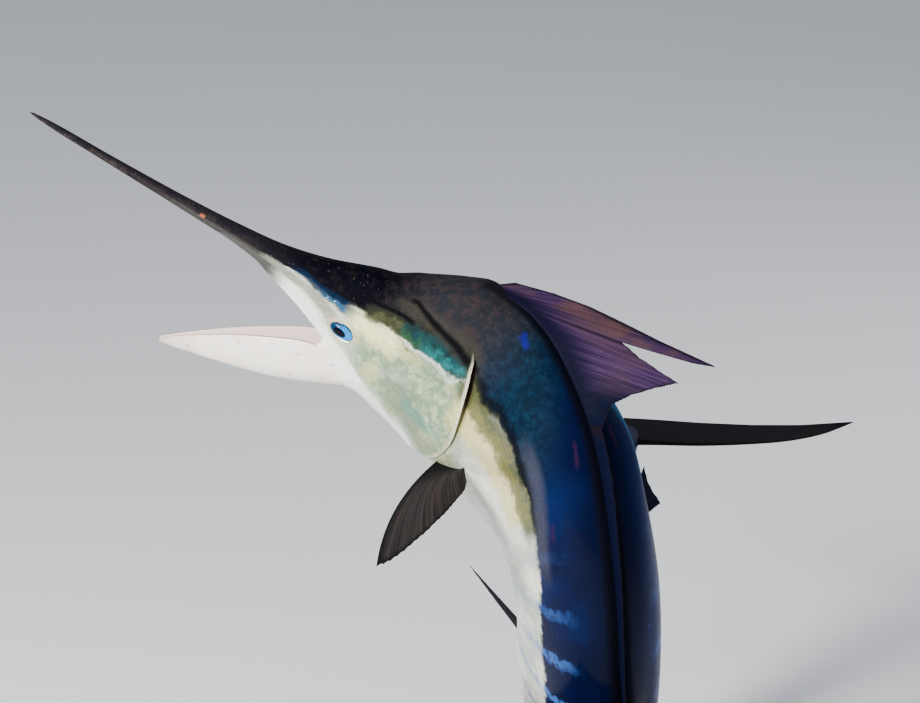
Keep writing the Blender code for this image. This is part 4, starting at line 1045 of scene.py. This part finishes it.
def makeSkinMaterial():
    material, shader, place, station, above, flank, lid, rim, slit = newMaterial(
        "marlinSkin", "station", "above", "flank", "lid", "rim", "slit")
    paint = skinPaint
    soft, fine = noise(place, 16.0, 3.0), noise(place, 70.0, 4.0, 0.6)
    grit, broad = noise(place, 260.0, 3.0, 0.7), noise(place, 6.0, 3.0)
    # noise drawn out along the fish, as its skin's grain is
    grain = noise(flatPlace(station * 12.0, above * 0.42), 3.0, 4.0, 0.6)
    wobble = soft * 0.5 + fine * 0.5 - 0.5
    strayed = station + wobble * 0.12
    # pale lower side
    belly = blend(step(soft, 0.35, 0.7), *paint["belly"])
    cheek = blend(step(fine, 0.42, 0.64), *paint["cheek"])
    cheek = blend(step(soft, 0.5, 0.66) * 0.55, cheek, paint["cheekWarm"])
    onCheek = step(strayed, 0.6, 0.68) * fall(station, 0.9, 0.96) * step(above + wobble * 30.0, -60.0, -34.0)
    lower = blend(onCheek, belly, cheek)
    # dark upper side, from the bill to the tail
    worn = (step(grain * 0.6 + fine * 0.4, 0.42, 0.62) * step(above, -10.0, 60.0, 1.0, 0.25)
            * step(station, 0.34, 0.47, 1.0, 0.25))
    head = blend(step(fine, 0.45, 0.7), *paint["head"])
    head = blend(fall(strayed, 0.42, 0.54), head, blend(worn, *paint["bill"]))
    front = blend(step(fine, 0.42, 0.62), *paint["backFront"])
    middle = blend(step(fine, 0.4, 0.64), *paint["backMiddle"])
    rear = blend(step(broad, 0.46, 0.7) * 0.7, *paint["backRear"])
    back = blend(step(strayed, 0.82, 0.94), front, middle)
    back = blend(step(strayed + above * 0.003, 1.12, 1.28), back, rear)
    back = blend(fall(strayed, 0.64, 0.74), back, head)
    # painted sky light: the right flank, lit by the sky, is painted a lighter, clearer blue than the left
    blue = (step(flank, 0.05, 0.4) * step(station, 0.92, 1.04) * step(above, 40.0, 74.0, 1.0, 0.15)
            * step(station, 1.9, 2.3, 0.85, 0.0))
    # painted shade: the upper back is darker towards the midline, by the fold where the low back fin lies
    ridgeShade = step(above, 40.0, 80.0) * step(station, 1.02, 1.14)
    back = layered(back, paint, (ridgeShade * 0.8, "ridgeShade"), (blue, "skyLitFlankBlue"))
    dark = step(above + wobble * 14.0 - curve(station, paint["darkEdge"]), -2.0, 2.0)
    colour = blend(dark, lower, back)
    for stroke in paint["strokes"]:
        colour = paintStroke(colour, station, above, wobble, stroke)
    colour = paintStroke(colour, station, above, wobble, paint["gleam"], step(flank, 0.1, 0.4))
    # dark mottling over the upper cheek
    mottle = (step(noise(place, 48.0, 3.0), 0.47, 0.64) * step(above, 9.0, 15.0) * fall(above, 26.0, 34.0)
              * step(station, 0.66, 0.7) * step(station, 0.855, 0.875, 0.55, 0.0))
    # painted shadow: a dark line along the root of the back fin
    foot = step(above, 78.0, 85.0) * step(station, 0.78, 0.8)
    # cobalt bars down the flank
    wave = calc("SINE", (station / 0.072 + wobble * 0.7) * math.tau)
    bars = (step(wave, 0.55, 0.95) * step(above, -38.0, -8.0) * fall(above, 38.0, 64.0)
            * step(station, 1.12, 1.4) * fall(station, 2.15, 2.3) * step(fine, 0.36, 0.58, 0.2, 0.75))
    lining = fall(above, -82.0, -74.0) * step(station, 0.44, 0.48) * fall(station, 0.73, 0.76)
    flecks = speckles(place, 34.0, 0.16, 0.1) * dark * step(station, 0.95, 1.15)
    pale = speckles(place, 170.0, 0.3, 0.16) * dark * fall(station, 0.62, 0.74)
    # the slit layer is painted shade in the slit behind the gill cover's free edge
    colour = layered(
        colour, paint, (mottle, "mottle"), (foot * 0.9, "finRootShadow"), (bars, "bar"), (lid * 0.7, "lid"),
        (lining, "mouth"), (rim * 0.75, "gillRim"), (slit * step(above, -22.0, 14.0, 0.22, 1.0), "slit"),
        (flecks * 0.6, "fleck"), (pale * 0.1, "paleFleck"))
    tone = step(grain, 0.25, 0.8, 0.78, 1.16) * step(grit, 0.3, 0.7, 0.84, 1.14)
    # the dark front of the back is nearly dull, and the rest is wet and bright
    dull = calc("MAXIMUM", dark * fall(strayed, 1.02, 1.26), foot)
    # narrow scales lying along the body
    scales = wire(place.tree, "ShaderNodeTexVoronoi", {
        "Vector": flatPlace(station * 42.0, above * 0.62), "Scale": 1.0}, feature="F1")
    plug(shader, {
        "Base Color": wire(place.tree, "ShaderNodeHueSaturation", {"Value": tone, "Color": colour}),
        "Roughness": step(grain, 0.2, 0.8, 0.22, 0.38) + dull * 0.42,
        "Metallic": dark * -0.28 + 0.28,
        "Coat Weight": dark * -0.26 + 0.34 - dull * 0.08,
        "Coat Roughness": 0.1, "Specular IOR Level": 0.04,
        "Normal": bump(scales * 0.6 + fine * 0.5 + grit * 0.15, 0.22, 0.0012)})
    return material


finPaint = {
    "dorsal": {"web": ((0.007, 0.004, 0.02), (0.058, 0.027, 0.082)), "ray": (0.008, 0.005, 0.018),
               "edge": (0.005, 0.003, 0.006), "warm": (0.1, 0.05, 0.036), "warmShare": 0.75,
               "foot": (0.0006, 0.0014, 0.01), "footLight": (0.0009, 0.0024, 0.014)},
    "dark": {"web": ((0.012, 0.01, 0.012), (0.038, 0.031, 0.031)), "ray": (0.004, 0.003, 0.004),
             "edge": (0.003, 0.0025, 0.003), "warm": (0.045, 0.024, 0.016), "warmShare": 0.5,
             "foot": (0.005, 0.004, 0.006), "footLight": (0.016, 0.012, 0.014)},
}


def makeFinMaterial(name, paint):
    material, shader, place, across, along, station = newMaterial(name, "across", "along", "station")
    blot = noise(place, 14.0, 3.0)
    # streaks that follow the rays: broad ones over two or three rays, fine ones between them
    broad = noise(flatPlace(across * 0.34, along * 0.3), 2.4, 3.0, 0.7)
    streak = noise(flatPlace(across * 2.2, along * 0.9), 2.4, 4.0, 0.6)
    mixed = broad * 0.65 + streak * 0.35
    colour = blend(step(mixed, 0.36, 0.64), *paint["web"])
    warm = (step(blot, 0.34, 0.62) * step(along, 0.22, 0.6) * step(station, 0.815, 0.85, 1.0, 0.35)
            * step(mixed, 0.3, 0.6, 0.45, 1.0))
    wave = calc("ABSOLUTE", calc("COSINE", across * math.pi))
    colour = layered(colour, paint, (warm * paint["warmShare"], "warm"),
                     (step(wave, 0.9, 0.995) * 0.3, "ray"))
    # the low part and the foot of the fin take the dark blue of the back
    low = blend(step(streak, 0.45, 0.75), paint["foot"], paint["footLight"])
    colour = blend(step(station, 0.935, 1.01), colour, low)
    lead = step(along, 0.84, 0.95) * fall(station, 0.8055, 0.8075)
    colour = layered(
        colour, paint, (fall(along - streak * 0.2, -0.02, 0.34) * 0.93, "foot"),
        (calc("MAXIMUM", step(along, 0.94, 1.0), lead) * 0.85, "edge"),
        (step(across, 0.2, 1.4, 0.85, 0.0), "edge"))
    plug(shader, {"Base Color": colour, "Roughness": step(streak, 0.2, 0.8, 0.56, 0.78),
                  "Specular IOR Level": 0.05, "Normal": bump(wave * 0.2 + mixed * 0.8, 0.2, 0.001)})
    return material


jawPaint = {
    "skin": ((0.96, 0.88, 0.78), (0.9, 0.77, 0.67)), "throat": ((0.9, 0.87, 0.78), (0.72, 0.71, 0.63)),
    "tip": (0.22, 0.18, 0.17), "lining": (0.83, 0.68, 0.61), "gum": (0.44, 0.17, 0.12),
    "corner": (0.78, 0.5, 0.38), "fleck": (0.24, 0.22, 0.22),
}


def makeJawMaterial():
    material, shader, place, along, inside, join = newMaterial("jawSkin", "along", "inside", "join")
    paint = jawPaint
    soft = noise(place, 24.0, 4.0, 0.6)
    # the gums' thin reddish line lies over the lining, and the corner of the mouth is warmer
    gum = step(inside, 0.02, 0.3) * fall(inside, 0.55, 0.95)
    colour = layered(
        blend(step(soft, 0.4, 0.62), *paint["skin"]), paint,
        (step(along + soft * 0.05, 0.3, 0.4) * 0.7, "tip"), (inside * 0.85, "lining"), (gum * 0.85, "gum"),
        (step(along, 0.0, 0.12, 0.7, 0.0) * inside, "corner"))
    colour = blend(join, colour, blend(step(soft, 0.35, 0.7), *paint["throat"]))
    colour = layered(colour, paint, (speckles(place, 70.0, 0.26, 0.18) * 0.55, "fleck"))
    plug(shader, {"Base Color": colour, "Roughness": step(soft, 0.3, 0.7, 0.24, 0.44), "Coat Weight": 0.5,
                  "Coat Roughness": 0.1, "Subsurface Weight": 0.08, "Subsurface Scale": 0.01,
                  "Normal": bump(soft, 0.25, 0.001)})
    return material


eyePaint = {
    "iris": ((0.004, 0.1, 0.34), (0.02, 0.3, 0.66)), "front": (0.002, 0.012, 0.045),
    "rim": (0.002, 0.008, 0.026), "pupil": (0.001, 0.001, 0.003),
}


def makeEyeMaterial():
    material, shader, _, lookAlong, lookUp = newMaterial("marlinEye", "lookAlong", "lookUp")
    pupil, paint = eye["pupil"], eyePaint
    x = (lookAlong * eye["radii"][0] + pupil["forward"]) * pupil["long"]
    y = lookUp * eye["radii"][1] + pupil["down"]
    away = calc("SQRT", x * x + y * y) / pupil["radius"]
    threads = noise(flatPlace(calc("ARCTAN2", y, x) * 3.0, away * 0.8), 5.0, 3.0)
    rim = calc("SQRT", lookAlong * lookAlong + lookUp * lookUp)
    # bright above and towards the tail, nearly black towards the bill; the dark ring at the edge under the
    # lids is painted shade of the lids
    colour = layered(
        blend(step(threads, 0.35, 0.65), *paint["iris"]), paint,
        (step(lookAlong, -0.4, 0.1, 0.92, 0.0), "front"),
        (step(rim, 0.62, 0.74, 0.0, 0.85), "rim"), (fall(away, 0.84, 1.1), "pupil"))
    plug(shader, {"Base Color": colour, "Roughness": step(threads, 0.2, 0.8, 0.1, 0.22), "Coat Weight": 0.05,
                  "Coat Roughness": 0.03, "Specular IOR Level": 0.06})
    return material


standPaint = {
    "wood": ((0.03, 0.017, 0.011), (0.075, 0.04, 0.024)), "pore": (0.012, 0.008, 0.006),
    "steel": ((0.42, 0.42, 0.43), (0.66, 0.66, 0.67)),
}


def makeStandMaterials():
    paint = standPaint
    wood, shader, place = newMaterial("stainedWood")
    grain = noise(stretched(place, (14.0, 1.0, 14.0)), 3.0, 6.0, 0.62)
    pores = noise(stretched(place, (90.0, 4.0, 90.0)), 4.0, 2.0)
    colour = blend(step(grain, 0.35, 0.65), *paint["wood"])
    plug(shader, {"Base Color": blend(step(pores, 0.56, 0.66, 0.0, 0.6), colour, paint["pore"]),
                  "Roughness": step(grain, 0.2, 0.8, 0.26, 0.42), "Normal": bump(pores, 0.15, 0.0008)})
    steel, shader, place = newMaterial("brushedSteel")
    turned = noise(stretched(place, (6.0, 6.0, 900.0)), 2.0, 3.0)
    plug(shader, {"Base Color": blend(turned, *paint["steel"]),
                  "Roughness": step(turned, 0.2, 0.8, 0.22, 0.4), "Metallic": 1.0})
    return wood, steel


def dress(piece, material, *nodes, slot):
    piece.data.materials.clear()
    piece.data.materials.append(material)
    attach(piece, "root")
    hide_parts(*nodes)


skinMaterial = makeSkinMaterial()
dorsalMaterial = makeFinMaterial("dorsalMembrane", finPaint["dorsal"])
finMaterial = makeFinMaterial("darkFinMembrane", finPaint["dark"])
jawMaterial = makeJawMaterial()
eyeMaterial = makeEyeMaterial()
woodMaterial, steelMaterial = makeStandMaterials()
print("materials made")

skin = makeSkin()
dress(skin, skinMaterial, "bill", "head", "trunk_front", "trunk_middle", "trunk_rear", "tail_stock",
      "peduncle", slot="body_skin")
print("skin made,", len(skin.data.polygons), "faces")

dress(makeJaw(), jawMaterial, "lower_jaw", slot="jaw_skin")
dress(makeThroat(), jawMaterial, "lower_jaw", slot="jaw_skin")
for name, side in sides.items():
    dress(makeGillCover("gill_cover_skin_" + name, side), skinMaterial, "gill_cover_" + name,
          slot="cheek_skin")
    dress(makeEye("eye_ball_" + name, side), eyeMaterial, "eye_" + name, slot="eye")
print("head made")

for count, name in enumerate(midlineFins):
    isDorsal = midlineFins[name]["edge"] > 0
    dress(makeMidlineFin(name, count + 3), dorsalMaterial if isDorsal else finMaterial, name,
          slot="dorsal_fin" if isDorsal else "dark_fin")
for name, side in sides.items():
    dress(makePectoral("pectoral_fin_" + name, side), finMaterial, "pectoral_" + name, slot="dark_fin")
    dress(makePelvic("pelvic_fin_" + name, side), finMaterial, "pelvic_" + name, slot="dark_fin")
for name, way in (("upper", 1), ("lower", -1)):
    dress(makeCaudal("tail_fin_" + name, way), finMaterial, "caudal_" + name, slot="dark_fin")
print("fins made")

for name, material in (("base", woodMaterial), ("rod_front", steelMaterial), ("rod_rear", steelMaterial)):
    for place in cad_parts["stand_" + name].material_slots:
        place.material = material

camera = {
    "centre": (-0.16, -0.12, 0.885),        # the point of the fish in the middle of the picture
    "elevation": 15,
    "distance": 10.0,
    "metresPerPixel": 0.00165,
    "pictureWidth": 920,
    "sensorWidth": 36,
    "clipEnd": 200,
}


def makeCamera():
    rise = math.radians(camera["elevation"])
    ahead = Vector((0, math.cos(rise), -math.sin(rise)))
    spot = Vector(camera["centre"]) - ahead * camera["distance"]
    bpy.ops.object.camera_add(location=spot, rotation=(math.radians(90) - rise, 0, 0))
    eyePoint = bpy.context.active_object
    eyePoint.name = "photo_camera"
    eyePoint.data.sensor_width = camera["sensorWidth"]
    width = camera["pictureWidth"] * camera["metresPerPixel"]
    eyePoint.data.lens = camera["sensorWidth"] / width * camera["distance"]
    eyePoint.data.clip_end = camera["clipEnd"]
    bpy.context.scene.camera = eyePoint


lights = (
    {"name": "key_softbox", "place": (-3.4, -3.4, 3.0), "aim": (0.0, 0.1, 0.8), "size": 1.5, "power": 640},
    {"name": "fill_softbox", "place": (3.4, -3.2, 1.8), "aim": (0.0, 0.1, 0.8), "size": 2.5, "power": 25},
    {"name": "rim_softbox", "place": (2.6, 3.0, 3.0), "aim": (0.1, 0.1, 0.9), "size": 1.6, "power": 60},
)
sky = {"Color": (0.8, 0.86, 1.0, 1), "Strength": 0.44}


def makeLights():
    for lamp in lights:
        turned = (Vector(lamp["aim"]) - Vector(lamp["place"])).to_track_quat("-Z", "Y").to_euler()
        bpy.ops.object.light_add(type="AREA", location=lamp["place"], rotation=turned)
        light = bpy.context.active_object
        light.name = lamp["name"]
        light.data.energy, light.data.shape, light.data.size = lamp["power"], "DISK", lamp["size"]
    world = bpy.data.worlds.new("studio")
    world.use_nodes = True
    plug(world.node_tree.nodes["Background"], sky)
    bpy.context.scene.world = world


floorLook = {"size": 160, "tones": ((0.86, 0.87, 0.87), (0.9, 0.9, 0.9)), "roughness": 0.9}


def makeFloor():
    deselectAll()
    bpy.ops.mesh.primitive_plane_add(size=floorLook["size"], location=(0, 0, 0))
    floor = bpy.context.active_object
    floor.name = "studio_floor"
    material, shader, place = newMaterial("paleFloor")
    plug(shader, {"Base Color": blend(noise(place, 1.2, 2.0), *floorLook["tones"]),
                  "Roughness": floorLook["roughness"]})
    floor.data.materials.append(material)


makeCamera()
makeLights()
makeFloor()
print("camera, lights and floor made")
